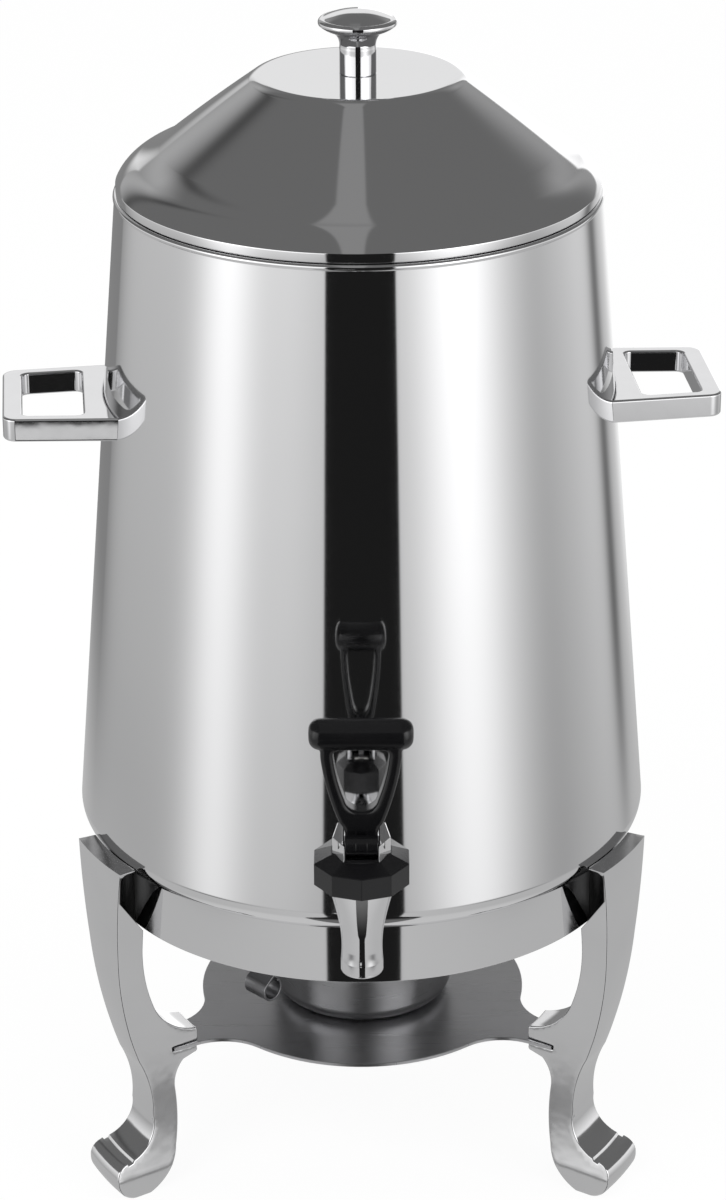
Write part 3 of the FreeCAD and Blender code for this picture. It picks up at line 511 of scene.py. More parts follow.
def black_plastic():
    """Moulded phenolic: deep black, glossy, with a faint orange-peel and dull patches from hands."""
    return shaded("black_plastic",
                  Base_Color=mottled((0.003, 0.003, 0.0035), (0.007, 0.007, 0.008), 45.0, 3.0),
                  Roughness=uneven(0.16, (0.14, 70.0, 4.0)),
                  Normal=waved(0.10, 0.0002, 700.0, 2.0))


def soft_seal():
    """Milky silicone of washers and seals."""
    return shaded("soft_seal",
                  Base_Color=mottled((0.62, 0.61, 0.57), (0.72, 0.71, 0.67), 90.0, 2.0),
                  Roughness=uneven(0.55, (0.2, 300.0, 3.0)))


# Sizes of the real pieces, in millimetres about the urn's axis, heights over the seat

SHEET = 1.2
CLEAR = 0.1
RING_RADIUS = 139.0
RING_LOW = -31.0
SEAT_RADIUS = RING_RADIUS + 0.7
SKIRT_RADIUS = RING_RADIUS - 3.5
SKIRT_LOW = -12.0
WALL_LOW = (146.5, 12.0)
WALL_SLOPE = (146.5 - 119.4) / 323.5
LID_SEAT = 335.8
LID_TOP = 393.3
LEG_FRONT = 155.6
HOLLOW_HUB = (138.0, 23.5)
HOLLOW_RADIUS = 15.0
HOLLOW_LOW = (139.0, RING_LOW)
HOLLOW_SLOPE = 70.2 / 48.0
TRAY_TOP = -109.7
CUP_TOP = TRAY_TOP + 47.0
COVER_LOW = CUP_TOP + 0.3
COVER_RADIUS = 48.3
PIVOT = (51.9 * math.cos(math.radians(45.0)), 51.9 * math.sin(math.radians(45.0)))
EAR_RADIUS = 5.5
HANDLE_TOP = 234.0
HANDLE_HEIGHT = 11.7
HANDLE_REACH = 50.2
HANDLE_WIDTHS = (78.0, 70.5)
TAP_REACH = 203.0
SHANK_HEIGHT = 52.0
BONNET_TOP = 77.0
PIN_HEIGHT = 83.4
GRIP_HEIGHT = 53.8


def wall_radius(height):
    """Outer radius of the straight wall: linear in height."""
    return WALL_LOW[0] - (height - WALL_LOW[1]) * WALL_SLOPE


def shoulder_point(grow, height):
    """Circle through the seat's edge, tangent to the wall at its foot; radius grown outwards."""
    tilt = math.atan(WALL_SLOPE)
    chord = (SEAT_RADIUS - WALL_LOW[0], -WALL_LOW[1])
    half = -chord[0] * math.cos(tilt) - chord[1] * math.sin(tilt)
    bend = (chord[0] ** 2 + chord[1] ** 2) / (2 * half)
    hub = (WALL_LOW[0] - bend * math.cos(tilt), WALL_LOW[1] - bend * math.sin(tilt))
    return (hub[0] + math.sqrt((bend + grow) ** 2 - (height - hub[1]) ** 2), height)


def turned_about(angle):
    """Rotation matrix about the upright axis."""
    c, s = math.cos(math.radians(angle)), math.sin(math.radians(angle))
    return np.array([[c, s, 0.0], [-s, c, 0.0], [0.0, 0.0, 1.0]])


def urn_wall(thin):
    """Body profile: seat, round shoulder, straight tapered wall, rolled rim, and the same inside."""
    skirt, ease = SKIRT_RADIUS, 0.3
    neck_z, rim_z = 332.5, 335.5
    neck = wall_radius(neck_z)
    outside = outline((skirt + ease, 0.0), [
        (SEAT_RADIUS - 0.2, 0.0), (shoulder_point(0.0, 4.8), WALL_LOW)], arc_steps=20)
    wall = outline(WALL_LOW, [(neck, neck_z)], line_steps=40)[1:]
    rim = arc((neck, neck_z), (neck + 0.6, 334.0), (neck - 0.6, rim_z), 10)
    top = (wall_radius(rim_z) - thin / math.cos(math.atan(WALL_SLOPE)), rim_z)
    inner_low = (WALL_LOW[0] - 1.196, 11.9)
    inside = outline(top, [inner_low], line_steps=30)
    bend = arc(inner_low, shoulder_point(-thin, 5.4), shoulder_point(-thin, thin), 12)
    skirting = np.array([
        (skirt - thin, thin), (skirt - thin, SKIRT_LOW + ease), (skirt - thin + ease, SKIRT_LOW),
        (skirt - ease, SKIRT_LOW), (skirt, SKIRT_LOW + ease), (skirt, -ease)])
    return np.concatenate([outside, wall, rim, inside, bend, skirting])


def around(loop, hub, turns):
    """Polar form of a loop: its points at given turns about a hub that sees all of it."""
    fine = spaced(loop, 4000, closed=True)
    way = fine - np.asarray(hub, float)
    turn = np.arctan2(way[:, 1], way[:, 0])
    reach = np.hypot(way[:, 0], way[:, 1])
    order = np.argsort(turn)
    turn, reach = turn[order], reach[order]
    turn = np.concatenate([turn[-1:] - 2 * math.pi, turn, turn[:1] + 2 * math.pi])
    reach = np.concatenate([reach[-1:], reach, reach[:1]])
    out = np.interp(turns, turn, reach)
    return np.stack([hub[0] + out * np.cos(turns), hub[1] + out * np.sin(turns)], axis=1)


def key_turns(hub, *loops, extra):
    """Turns about a hub that pass through every given point, and evenly between."""
    turns = [np.linspace(-math.pi, math.pi, extra, endpoint=False)]
    for loop in loops:
        way = np.asarray(loop, float) - np.asarray(hub, float)
        turns.append(np.arctan2(way[:, 1], way[:, 0]))
    turns = np.sort(np.concatenate(turns))
    return turns[np.concatenate([[True], np.diff(turns) > 1e-3])]


def frame_rows(outer, inner, low, high, bevel, steps):
    """Closed grid of the ring between two loops: its four edges are quarter-rounds, its faces flat."""
    inset, depth = quarter_round(bevel, steps)
    out_way, in_way = -outward(outer), outward(inner)
    rows = []
    for loop, way, levels, order in ((outer, out_way, high - depth, 1), (inner, in_way, high - depth, -1),
                                     (inner, in_way, low + depth, 1), (outer, out_way, low + depth, -1)):
        rows += [raised(loop + way * back, z) for back, z in list(zip(inset, levels))[::order]]
    return np.stack(rows)


def handle_shape(angle):
    """Tapered frame round a finger hole; its root follows the wall's circle at every height."""
    low, high = HANDLE_TOP - HANDLE_HEIGHT, HANDLE_TOP
    root = wall_radius(HANDLE_TOP)
    end = root + HANDLE_REACH
    wall = root + CLEAR
    rail, bridge, tip = 6.4, 10.4, 9.5
    gain = (HANDLE_WIDTHS[0] - HANDLE_WIDTHS[1]) / 2 / HANDLE_REACH

    def half(radius):
        """Half the width: linear in the distance from the axis."""
        return HANDLE_WIDTHS[0] / 2 - (radius - root) * gain

    side = half(root - 6.2)
    at_wall = math.sqrt(wall ** 2 - side ** 2)
    sweep = np.linspace(math.asin(side / wall), -math.asin(side / wall), 40)[1:-1]
    scribe = np.stack([wall * np.cos(sweep), wall * np.sin(sweep)], axis=1)
    corners = [(at_wall, -side), (end, -half(end)), (end, half(end)), (at_wall, side)]
    outer = np.concatenate([rounded(corners, (0.0, 7.0, 7.0, 0.0), 10), scribe])
    near, far = root + bridge, end - tip
    inner = rounded([(near, rail - half(near)), (far, rail - half(far)), (far, half(far) - rail),
                     (near, half(near) - rail)], 4.0, 8)
    bevel = 1.2
    inset, depth = quarter_round(bevel, 4)
    insets = np.concatenate([depth, inset])
    heights = np.concatenate([low + inset, high - depth])

    def on_root(points):
        """Points near the wall shifted outwards with depth, because the wall widens downwards."""
        reach = np.hypot(points[..., 0], points[..., 1])
        share = np.clip((wall + 1.6 - reach) / 1.5, 0.0, 1.0)
        points[..., 0] += share * (HANDLE_TOP - points[..., 2]) * WALL_SLOPE
        return points @ turned_about(angle)

    shape = Shape()
    for loop, way in ((outer, 1.0), (inner, -1.0)):
        normal = outward(loop) * way
        rows = [raised(loop - normal * back, z) for back, z in zip(insets, heights)]
        shape.grid(on_root(np.stack(rows)), close_columns=True)
    flat, faces = between(outer - outward(outer) * bevel, inner + outward(inner) * bevel)
    for z in (low, high):
        shape.add(on_root(raised(flat, z)), faces)
    return shape


def leg_side():
    """Side of a leg as (distance from the axis, height): head, knee, ankle, rolled toe, heel and jaws."""
    slot_low, slot_high = TRAY_TOP - 2.15, TRAY_TOP + 0.15
    start = (LEG_FRONT, 7.5)
    steps = [
        ((LEG_FRONT, -14.7), (154.2, -44.0)),
        ((148.5, -86.0), (141.2, -112.0)),
        ((135.3, -130.0), (134.6, -146.0)),
        ((137.9, -160.0), (147.8, -167.4)),
        (148.6, -168.8),
        (151.2, -169.6),
        (151.6, -168.2),
        ((157.0, -171.8), (158.4, -177.4)),
        ((156.2, -185.0), (147.9, -190.0)),
        (138.9, -190.0),
        ((128.4, -182.4), (122.0, -167.0)),
        ((119.8, -150.0), (120.2, -134.0)),
        ((119.2, -125.5), (114.6, slot_low - 6.6)),
        (107.8, slot_low - 4.6),
        ((106.3, slot_low - 3.8), (106.2, slot_low - 2.2)),
        (106.2, slot_low),
        (121.0, slot_low),
        (121.0, slot_high),
        (105.8, slot_high),
        (105.8, slot_high + 6.4),
        ((106.2, slot_high + 7.2), (107.2, slot_high + 7.6)),
        ((121.8, slot_high + 14.6), (130.9, slot_high + 26.6)),
        ((136.9, -63.0), (139.1, -43.0)),
        (139.1, -0.3),
        shoulder_point(0.4, 0.0),
        (shoulder_point(0.4, 3.75), shoulder_point(0.4, 7.5)),
    ]
    return outline(start, steps, arc_steps=16)


def leg_half_width(distance, height):
    """Half the leg's width: its front outline by height, drawn in towards the inside."""
    upper = outline((7.5, 23.5), [((-44.0, 16.49), (-95.0, 12.2))], arc_steps=40)
    lower = outline((-95.0, 12.2), [((-140.0, 13.2), (-178.0, 16.6)), (-190.0, 16.6)], arc_steps=40)
    table = np.concatenate([upper, lower[1:]])[::-1]
    wide = np.interp(height, table[:, 0], table[:, 1])
    return wide * (1.0 - 0.2 * (LEG_FRONT - distance) / 49.8)


def inside_loop(points, loop):
    """True where a point lies in a closed loop: an odd count of edges crosses the ray to its right."""
    x, y = points[:, 0, None], points[:, 1, None]
    x0, y0 = loop[:, 0], loop[:, 1]
    x1, y1 = np.roll(x0, -1), np.roll(y0, -1)
    spans = (y0 > y) != (y1 > y)
    with np.errstate(divide="ignore", invalid="ignore"):
        cross = x0 + (y - y0) * (x1 - x0) / (y1 - y0)
    return (np.sum(spans & (x < cross), axis=1) % 2) == 1


def filled(loop, spacing):
    """Points and triangles that fill a closed loop, with an even grid of points inside."""
    low, high = loop.min(axis=0), loop.max(axis=0)
    x, y = np.meshgrid(np.arange(low[0], high[0], spacing), np.arange(low[1], high[1], spacing * 0.866))
    x = x + (np.arange(len(x)) % 2)[:, None] * spacing / 2
    inner = np.stack([x.ravel(), y.ravel()], axis=1)
    inner = inner[inside_loop(inner, loop)]
    gap = np.min(np.linalg.norm(inner[:, None] - loop[None], axis=2), axis=1)
    inner = inner[gap > 0.6 * spacing]
    points = np.concatenate([loop, inner])
    made = delaunay_2d_cdt(points.tolist(), [], [list(range(len(loop)))], 1, 1e-6)
    return np.array(made[0]), [tuple(face) for face in made[2]]


def between(outer, inner):
    """Points and triangles of the flat area between two closed loops."""
    loops = [list(range(len(outer))), list(range(len(outer), len(outer) + len(inner)))]
    made = delaunay_2d_cdt(np.concatenate([outer, inner]).tolist(), [], loops, 1, 1e-6)
    points, faces = np.array(made[0]), np.array(made[2])
    keep = ~inside_loop(points[faces].mean(axis=1), inner)
    return points, [tuple(face) for face in faces[keep]]


def leg_shape():
    """Leg on the +X side: its rim carried across on the axis's circles, round edges, and filled sides."""
    bevel = 0.8
    rough = leg_side()
    parts = [spaced(rough[i:i + 2], max(2, int(np.linalg.norm(rough[i + 1] - rough[i]) / 1.5) + 1))[:-1]
             for i in range(len(rough) - 1)]
    parts.append(spaced(np.stack([rough[-1], rough[0]]), 6)[:-1])
    loop = counter_clockwise(np.concatenate(parts))
    normal = outward(loop)
    edge = list(zip(*quarter_round(bevel, 3)))
    rows = [(loop - normal * inset, -1, back) for inset, back in edge[::-1]]
    rows += [(loop, share, bevel) for share in np.linspace(-1, 1, 9)[1:-1]]
    rows += [(loop - normal * inset, 1, back) for inset, back in edge]

    def solid(flat, share, back):
        across = share * (leg_half_width(flat[:, 0], flat[:, 1]) - back)
        along = np.sqrt(flat[:, 0] ** 2 - across ** 2)
        return np.column_stack([along, across, flat[:, 1]])

    shape = Shape()
    shape.grid(np.stack([solid(*row) for row in rows]), close_columns=True)
    cap, faces = filled(loop - normal * bevel, 2.4)
    for share in (-1, 1):
        shape.add(solid(cap, share, 0.0), faces)
    return shape


def hollow_cutter(side):
    """Round cutter of one side's hollow: slanted floor, straight wall and a roof eased by an arc."""
    count, ease, roof = 96, 4.0, 2.5
    way = unit_circle(count)
    hub = np.array([HOLLOW_HUB[0], side * HOLLOW_HUB[1]])
    flat = hub + HOLLOW_RADIUS * way
    rings = [np.column_stack([flat, HOLLOW_LOW[1] + (flat[:, 0] - HOLLOW_LOW[0]) * HOLLOW_SLOPE])]
    for bend in np.linspace(0, math.pi / 2, 7):
        flat = hub + (HOLLOW_RADIUS - ease + ease * math.cos(bend)) * way
        rings.append(raised(flat, roof + ease * math.sin(bend)))
    shape = Shape()
    shape.grid(np.stack(rings), close_columns=True)
    shape.faces.append(tuple(range(count - 1, -1, -1)))
    shape.faces.append(tuple(range(shape.count - count, shape.count)))
    return blank("hollow_cutter", shape)


def leg_mesh():
    """The leg with a rounded hollow cut behind each side of its head."""
    leg = blank("leg_blank", leg_shape())
    cutters = [hollow_cutter(side) for side in (-1, 1)]
    for cutter in cutters:
        cut = leg.modifiers.new("hollow", "BOOLEAN")
        cut.operation, cut.solver, cut.object = "DIFFERENCE", "EXACT", cutter
    mesh = baked(leg)
    for cutter in cutters:
        bpy.data.objects.remove(cutter)
    return mesh


def extruded(loop, half_width, bevel, angle=0.0):
    """A closed (distance, height) loop carried sideways both ways, with quarter-round edges and flat ends."""
    loop = counter_clockwise(np.asarray(loop, float))
    normal = outward(loop)
    inset, depth = quarter_round(bevel, 3)
    rings = []
    for back, across in zip([*inset[::-1], *inset], [*(depth[::-1] - half_width), *(half_width - depth)]):
        flat = loop - normal * back
        rings.append(np.column_stack([flat[:, 0], np.full(len(flat), across), flat[:, 1]]))
    count = len(loop)
    faces = [tuple(face) for face in grid_faces(len(rings), count, False, True)]
    faces.append(tuple(range((len(rings) - 1) * count, len(rings) * count)))
    faces.append(tuple(range(count - 1, -1, -1)))
    return np.concatenate(rings) @ turned_about(angle), faces


def tray_plan():
    """Disc with three arms, each joined by two hollow arcs."""
    hub_radius, half, blend, end = 86.0, 11.6, 28.0, 120.0
    along = math.sqrt((hub_radius + blend) ** 2 - (half + blend) ** 2)
    bend = math.atan2(half + blend, along)
    parts = []
    for angle in (90.0, 210.0, 330.0):
        turn = math.radians(angle)
        c, s = math.cos(turn), math.sin(turn)
        spin = np.array([[c, s], [-s, c]])

        def disc(way):
            return hub_radius * math.cos(way), hub_radius * math.sin(way)

        def waist(way):
            hub = np.array([along, way * (half + blend)])
            one = np.array(disc(way * bend))
            two = np.array([along, way * half])
            mid = (one + two) / 2 - hub
            return one, hub + mid / np.linalg.norm(mid) * blend, two

        one, mid, two = waist(-1)
        three = waist(1)
        arm = [one[None], arc(tuple(one), tuple(mid), tuple(two), 10), np.array([(end, -half), (end, half)]),
               three[2][None], arc(tuple(three[2]), tuple(three[1]), tuple(three[0]), 10)]
        way = np.linspace(bend, 2 * math.pi / 3 - bend, 24)[1:-1]
        arm.append(hub_radius * np.stack([np.cos(way), np.sin(way)], axis=1))
        parts.append(np.concatenate(arm) @ spin)
    return np.concatenate(parts)


def cover_handle_outline():
    """Side outline of the strip: flat root on the cover, slope, and a curl almost closed on itself."""
    thin, curl = SHEET, 6.4
    high = COVER_LOW + SHEET + CLEAR
    root, bend = 36.3, 53.3
    beyond, drop = 35.0, 22.0
    end = (COVER_RADIUS + beyond - curl, high - drop + curl)
    run = math.hypot(end[0] - bend, high - end[1])
    along = ((end[0] - bend) / run, (end[1] - high) / run)
    across = (-along[1], along[0])
    hub = (end[0] - across[0] * curl, end[1] - across[1] * curl)
    start = math.atan2(across[1], across[0])

    def on_curl(radius, share):
        turn = start - math.radians(292.0) * share
        return (hub[0] + radius * math.cos(turn), hub[1] + radius * math.sin(turn))

    return outline((root, high + thin), [
        (bend - 1.0, high + thin), (bend + 1.0, high + thin - 0.5), on_curl(curl, 0.0),
        (on_curl(curl, 0.5), on_curl(curl, 1.0)), on_curl(curl - thin, 1.0),
        (on_curl(curl - thin, 0.5), on_curl(curl - thin, 0.0)), (bend - 0.6, high), (root, high)],
        arc_steps=40)


def lid_profile():
    """Lid skin: flat top, short brow, hollow flank, round shoulder, straight brim, skirt, and the inside."""
    w = SHEET
    foot = LID_SEAT + 4.4
    return outline((0.0, LID_TOP), [
        (44.0, LID_TOP), (46.0, LID_TOP - 0.02),
        ((49.9, LID_TOP - 0.6), (53.2, LID_TOP - 2.5)),
        ((75.2, LID_TOP - 18.8), (97.0, LID_TOP - 36.0)),
        ((102.3, LID_TOP - 39.65), (108.0, LID_TOP - 42.6)),
        ((114.35, foot + 6.2), (118.8, foot)),
        (118.8, LID_SEAT + 0.8),
        ((118.55, LID_SEAT + 0.25), (118.0, LID_SEAT)),
        (116.99, LID_SEAT), (116.99, LID_SEAT - 10.8), (116.8, LID_SEAT - 11.0), (115.99, LID_SEAT - 11.0),
        (115.79, LID_SEAT - 10.8), (115.79, LID_SEAT + w), (117.3, LID_SEAT + w), (117.6, foot),
        ((113.5, foot + 5.4), (107.4, LID_TOP - 43.7)),
        ((101.6, LID_TOP - 40.7), (96.2, LID_TOP - 37.0)),
        ((74.4, LID_TOP - 19.7), (52.4, LID_TOP - 3.5)),
        ((49.4, LID_TOP - 1.75), (45.8, LID_TOP - w)),
        (0.0, LID_TOP - w)], arc_steps=28)


def knob_profile():
    """Mushroom knob: straight stem, flared neck, thin rounded edge and a low dome."""
    foot = LID_TOP + CLEAR
    high = foot + 30.5
    under = high - 9.1
    return outline((0.0, foot), [
        (8.7, foot), (9.0, foot + 0.3), (9.0, under - 9.1),
        ((10.2, under - 3.2), (13.6, under - 0.4)),
        ((17.0, under + 1.1), (19.0, under + 2.6)),
        ((19.2, under + 4.0), (17.0, under + 5.6)),
        ((10.75, high - 1.2), (2.0, high)),
        (0.0, high)], arc_steps=18)


def cup_profile():
    """Pressed cup: flat base, rounded knee, straight wall with a softened lip, and the same inside."""
    r, knee, thin = 47.4, 8.5, SHEET
    c = 1 - math.sqrt(0.5)
    low, high = TRAY_TOP, CUP_TOP
    inner = r - thin
    ik = knee - thin
    return outline((0.0, low), [
        (r - knee, low), ((r - knee * c, low + knee * c), (r, low + knee)),
        (r, high - 0.3), (r - 0.3, high), (inner + 0.3, high), (inner, high - 0.3), (inner, low + knee),
        ((inner - ik * c, low + thin + ik * c), (inner - ik, low + thin)), (0.0, low + thin)], arc_steps=16)


def coin_profile(radius, low):
    """Disc of sheet with its edges taken off."""
    edge, high = 0.2, low + SHEET
    return [(0.0, low), (radius - edge, low), (radius, low + edge), (radius, high - edge),
            (radius - edge, high), (0.0, high)]


def spout_profile():
    """Tap casting: rounded outlet, slim neck, straight flare, threaded collar, chamber and bore."""
    return outline((6.0, 13.4), [
        (6.3, 13.1), (8.85, 13.1), ((9.7, 13.5), (10.05, 14.7)), (10.05, 19.1),
        ((9.72, 30.0), (10.25, 36.0)), ((12.25, 46.0), (15.9, 59.8)), (15.9, 62.1), (16.8, 62.1),
        (16.8, 70.0), (10.5, 70.0), (10.5, 46.0), (6.0, 46.0)], arc_steps=18)


def polygon(sides, radius, first):
    """Corners of a regular polygon in plan."""
    turn = math.radians(first) + np.arange(sides) * 2 * math.pi / sides
    return np.stack([radius * np.cos(turn), radius * np.sin(turn)], axis=1)


def bonnet_shape():
    """Ten-sided cap: softened corners, upright side, shallow faceted crown, bored from below."""
    low, side_top, top = 62.2, 73.4, BONNET_TOP
    levels = [(low, 23.0, 0.7), (low + 0.4, 23.4, 0.7), (side_top - 0.3, 23.4, 0.7),
              (side_top + 0.1, 23.05, 0.7), (top - 0.15, 14.9, 0.5), (top, 14.4, 0.5)]
    rows = [raised(rounded(polygon(10, radius, 270.0), soft, 4), z) for z, radius, soft in levels]
    turn = np.arctan2(rows[1][:, 1], rows[1][:, 0])
    way = np.stack([np.cos(turn), np.sin(turn)], axis=1)
    stem_bore, chamber_bore, roof = 6.6, 16.9, 73.6
    for z, radius in ((top, stem_bore), (roof, stem_bore), (roof, chamber_bore), (low, chamber_bore)):
        rows.append(raised(radius * way, z))
    shape = Shape()
    shape.grid(np.stack(rows) + np.array([0.0, -TAP_REACH, 0.0]), close_rows=True, close_columns=True)
    return shape


def yoke_shape():
    """Clevis: a thin bored floor, two cheeks with slanted fronts, and a guide for the stem."""
    low, floor, bore = BONNET_TOP + CLEAR, 1.0, 3.08
    plan = np.array([(8.4, -12.5), (13.7, -3.1), (11.3, 12.0), (-11.3, 12.0), (-13.7, -3.1), (-8.4, -12.5)])
    cheek = np.array([(8.1, -12.4), (8.4, -12.5), (13.7, -3.1), (11.3, 12.0), (8.1, 12.0)])
    move = np.array([0.0, -TAP_REACH])
    outer = rounded(plan, 0.6, 4) + move
    inner = bore * unit_circle(64) + move
    flat, faces = between(outer, inner)
    shape = Shape()
    for z in (low, low + floor):
        shape.add(raised(flat, z), faces)
    for loop in (outer, inner):
        shape.grid(np.stack([raised(loop, low), raised(loop, low + floor)]), close_columns=True)
    for way in (1, -1):
        loop = rounded(cheek, (0.1, 0.1, 0.7, 0.7, 0.1), 4) * np.array([way, 1.0])
        levels = (low + 0.8, low + 7.6, low + 8.1, low + 8.4)
        shape.slab(counter_clockwise(loop) + move, levels, (0.0, 0.0, 0.14, 0.5))
    guide = [(bore, 0.0), (6.5, 0.0), (6.5, 3.05), (bore, 3.05), (bore, 0.0)]
    shape.rod(guide, (0.0, -TAP_REACH, BONNET_TOP - 3.0), 64)
    return shape


def spring_shape(low, high):
    """Wire wound round the stem, risen by s - 0.8 sin(2 pi s) / 2 pi at share s, so its ends lie close."""
    wire, coil, turns = 0.85, 6.0, 5.0
    share = np.linspace(0, 1, 221)
    turn = share * turns * 2 * math.pi
    rise = share - 0.8 * np.sin(share * 2 * math.pi) / (2 * math.pi)
    z = low + wire + (high - low - 2 * wire) * rise
    centre = np.stack([coil * np.cos(turn), coil * np.sin(turn), z], axis=1)
    way = np.gradient(centre, axis=0)
    way = way / np.linalg.norm(way, axis=1)[:, None]
    out = np.stack([np.cos(turn), np.sin(turn), np.zeros_like(turn)], axis=1)
    ring = unit_circle(14) @ np.stack([out, np.cross(way, out)], axis=1)
    rows = np.r_[0, np.arange(len(share)), len(share) - 1]
    size = np.full(len(rows), wire)
    size[[0, -1]] = 0.0
    tube = centre[rows, None] + ring[rows] * size[:, None, None]
    shape = Shape()
    shape.grid(tube + np.array([0.0, -TAP_REACH, 0.0]), close_columns=True)
    return shape


def lever_outline():
    """Front outline of the lever's plate over its pins, and of its window, by height."""
    stem, loop, grip = 7.8, 18.9, GRIP_HEIGHT
    right = outline((stem, 0.0), [
        (stem, 3.6), ((stem + 0.5, 6.4), (stem + 2.6, 9.6)),
        ((loop - 3.4, 0.47 * grip), (loop, 0.80 * grip)), (loop, grip)], arc_steps=16)
    left = right[::-1] * np.array([-1.0, 1.0])
    wide, foot, sill, lintel = 12.9, 7.6, 15.6, 47.0
    side = outline((0.0, sill), [
        ((foot * 0.72, sill + 1.6), (foot, sill + 5.4)),
        ((wide - 1.9, (sill + lintel) / 2 + 1.0), (wide, lintel - 3.0)),
        ((wide - 0.6, lintel - 0.8), (wide - 2.6, lintel))], arc_steps=12)
    window = np.concatenate([side, (side[1:] * np.array([-1.0, 1.0]))[::-1]])
    return np.concatenate([right, left]), window


def lever_shape():
    """Plate with a window, grip bar and heel, as overlapping closed surfaces."""
    outer, window = lever_outline()
    hub = (0.0, 30.0)
    turns = key_turns(hub, outer, window, extra=240)
    rows = frame_rows(around(outer, hub, turns), around(window, hub, turns), -5.0, 5.0, 1.8, 5)
    shape = Shape()
    points = np.stack([rows[..., 0], rows[..., 2] - TAP_REACH, rows[..., 1] + PIN_HEIGHT], axis=2)
    shape.grid(points, close_rows=True, close_columns=True)
    r, end, length = 7.4, 5.2, 48.6
    turn = np.linspace(0, math.pi / 2, 9)
    cap = np.stack([r - end + end * np.sin(turn), end * (1 - np.cos(turn))], axis=1)
    other_cap = (cap * np.array([1.0, -1.0]) + np.array([0.0, length]))[::-1]
    bar = np.concatenate([[(0.0, 0.0)], cap, other_cap, [(0.0, length)]])
    shape.rod(bar, (-length / 2, -TAP_REACH, PIN_HEIGHT + GRIP_HEIGHT), 64, (1.0, 0.0, 0.0))
    return shape


def heel_shape():
    """Heel round both pins: two half circles joined by straight runs, slotted behind for the stem's eye."""
    radius, pins, slot, side = 5.0, 7.0, 2.3, 7.8
    turn = np.linspace(math.pi / 2, 3 * math.pi / 2, 24)
    half = radius * np.stack([np.cos(turn), np.sin(turn)], axis=1)
    front, back = half - np.array([pins, 0.0]), -half
    web = np.concatenate([[(-pins, 4.9)], front * 0.98 - np.array([0.14, 0.0]), [(-pins, -4.9)]])
    cheek = np.concatenate([front, back])
    middle, wide = (slot + side) / 2, (side - slot) / 2
    shape = Shape()
    for loop, at, *sizes in ((cheek, -middle, wide, 0.5), (cheek, middle, wide, 0.5), (web, 0.0, 2.6, 0.1)):
        points, faces = extruded(loop, *sizes)
        shape.add(points[:, [1, 0, 2]] + np.array([at, -TAP_REACH, PIN_HEIGHT]), faces)
    return shape


# Finishes, each made once and kept by its maker

MATERIALS = {}


def finish(maker):
    """The material of a finish, made when it is first asked for."""
    if maker not in MATERIALS:
        MATERIALS[maker] = maker()
    return MATERIALS[maker]


def dress(node, maker):
    """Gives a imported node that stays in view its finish."""
    obj = frame["nodes"][node]
    obj.data.materials.clear()
    obj.data.materials.append(finish(maker))


# Studio

LIGHT_BANKS = (
    (-62.0, 15.0, 0.54),
    (-32.0, 16.0, 0.14),
    (46.0, 20.0, 0.66),
    (86.0, 12.0, -0.08),
    (122.0, 16.0, 0.14),
    (137.0, 6.5, -0.42),
    (-150.0, 15.0, -0.28),
    (170.0, 16.0, 0.56),
)


def blended(one, two, share):
    """Level between two levels."""
    return one * (1.0 - share) + two * share


def room_level(b):
    """Brightness of the room by turn from the front and tilt over the horizon, both in degrees.

    LIGHT_BANKS holds each bank's turn, width and brightness over the wall's."""
    x, y, z = b.axes("Generated")
    turn = x.math("ARCTAN2", -y) * math.degrees(1.0)
    tilt = z.math("ARCSINE") * math.degrees(1.0)
    down, away = -tilt, turn.absolute()
    level = 0.56
    for middle, width, amount in LIGHT_BANKS:
        level = level + ((turn - middle) / width).bell() * amount
    level = level * (1.0 + (tilt + 14.0) * 0.03)
    level = blended(level, 0.24, 1.0 - turn.smooth(-143.5, -141.5))

    # Below: the floor with a shade on both sides, and an even grey straight down
    shade = down.within((23.0, 24.5), (27.5, 28.8)) * ((away - 62.0) / 18.0).bell() * 0.28
    floor = 0.50 + (turn / 60.0).bell() * 0.06 - shade
    level = blended(level, floor, down.smooth(20.5, 26.0))
    under = down.smooth(48.0, 62.0)
    level = blended(level, 0.62, under)

    # In front: a dark gap that widens downwards, with a low window for the left handle's front
    window = down.within((19.8, 20.1), (22.0, 22.6)) * (1.0 - (turn + 6.5).absolute().smooth(4.0, 5.0))
    across = (turn - 0.7).absolute() - down.smooth(40.0, 55.0) * 14.0
    gap = (1.0 - across.smooth(15.3, 16.3)) * (1.0 - window)
    level = blended(level, 0.012 + under * 0.14, gap) + window * 0.22

    # Behind: a bright rear wall
    behind = away.smooth(150.0, 168.0)
    level = blended(level, 0.88, tilt.smooth(0.0, 10.0) * behind)

    # Above: a grey ceiling with a pale stripe, two side patches and a dark streak
    stripe = (1.0 - (x + 0.04).absolute().smooth(0.07, 0.09)) * (1.0 - y.smooth(0.3, 0.6))
    stripe = stripe * tilt.smooth(8.0, 30.0)
    patches = ((turn + 152.0) / 12.0).bell() * 0.26 + ((turn - 154.0) / 12.0).bell() * 0.18
    streak = ((turn + 136.0) / 5.0).bell() * (60.0 - tilt).smooth(0.0, 30.0)
    ceiling = 0.15 + stripe * 0.11 + patches * (1.0 - tilt.smooth(26.0, 40.0)) - streak * 0.09
    edge = 28.0 - away.smooth(40.0, 140.0) * 30.0 + behind * 25.0
    level = blended(level, ceiling, ((tilt - edge) / 4.0).smooth(0.0, 1.0))
    return level.math("MAXIMUM", 0.0)


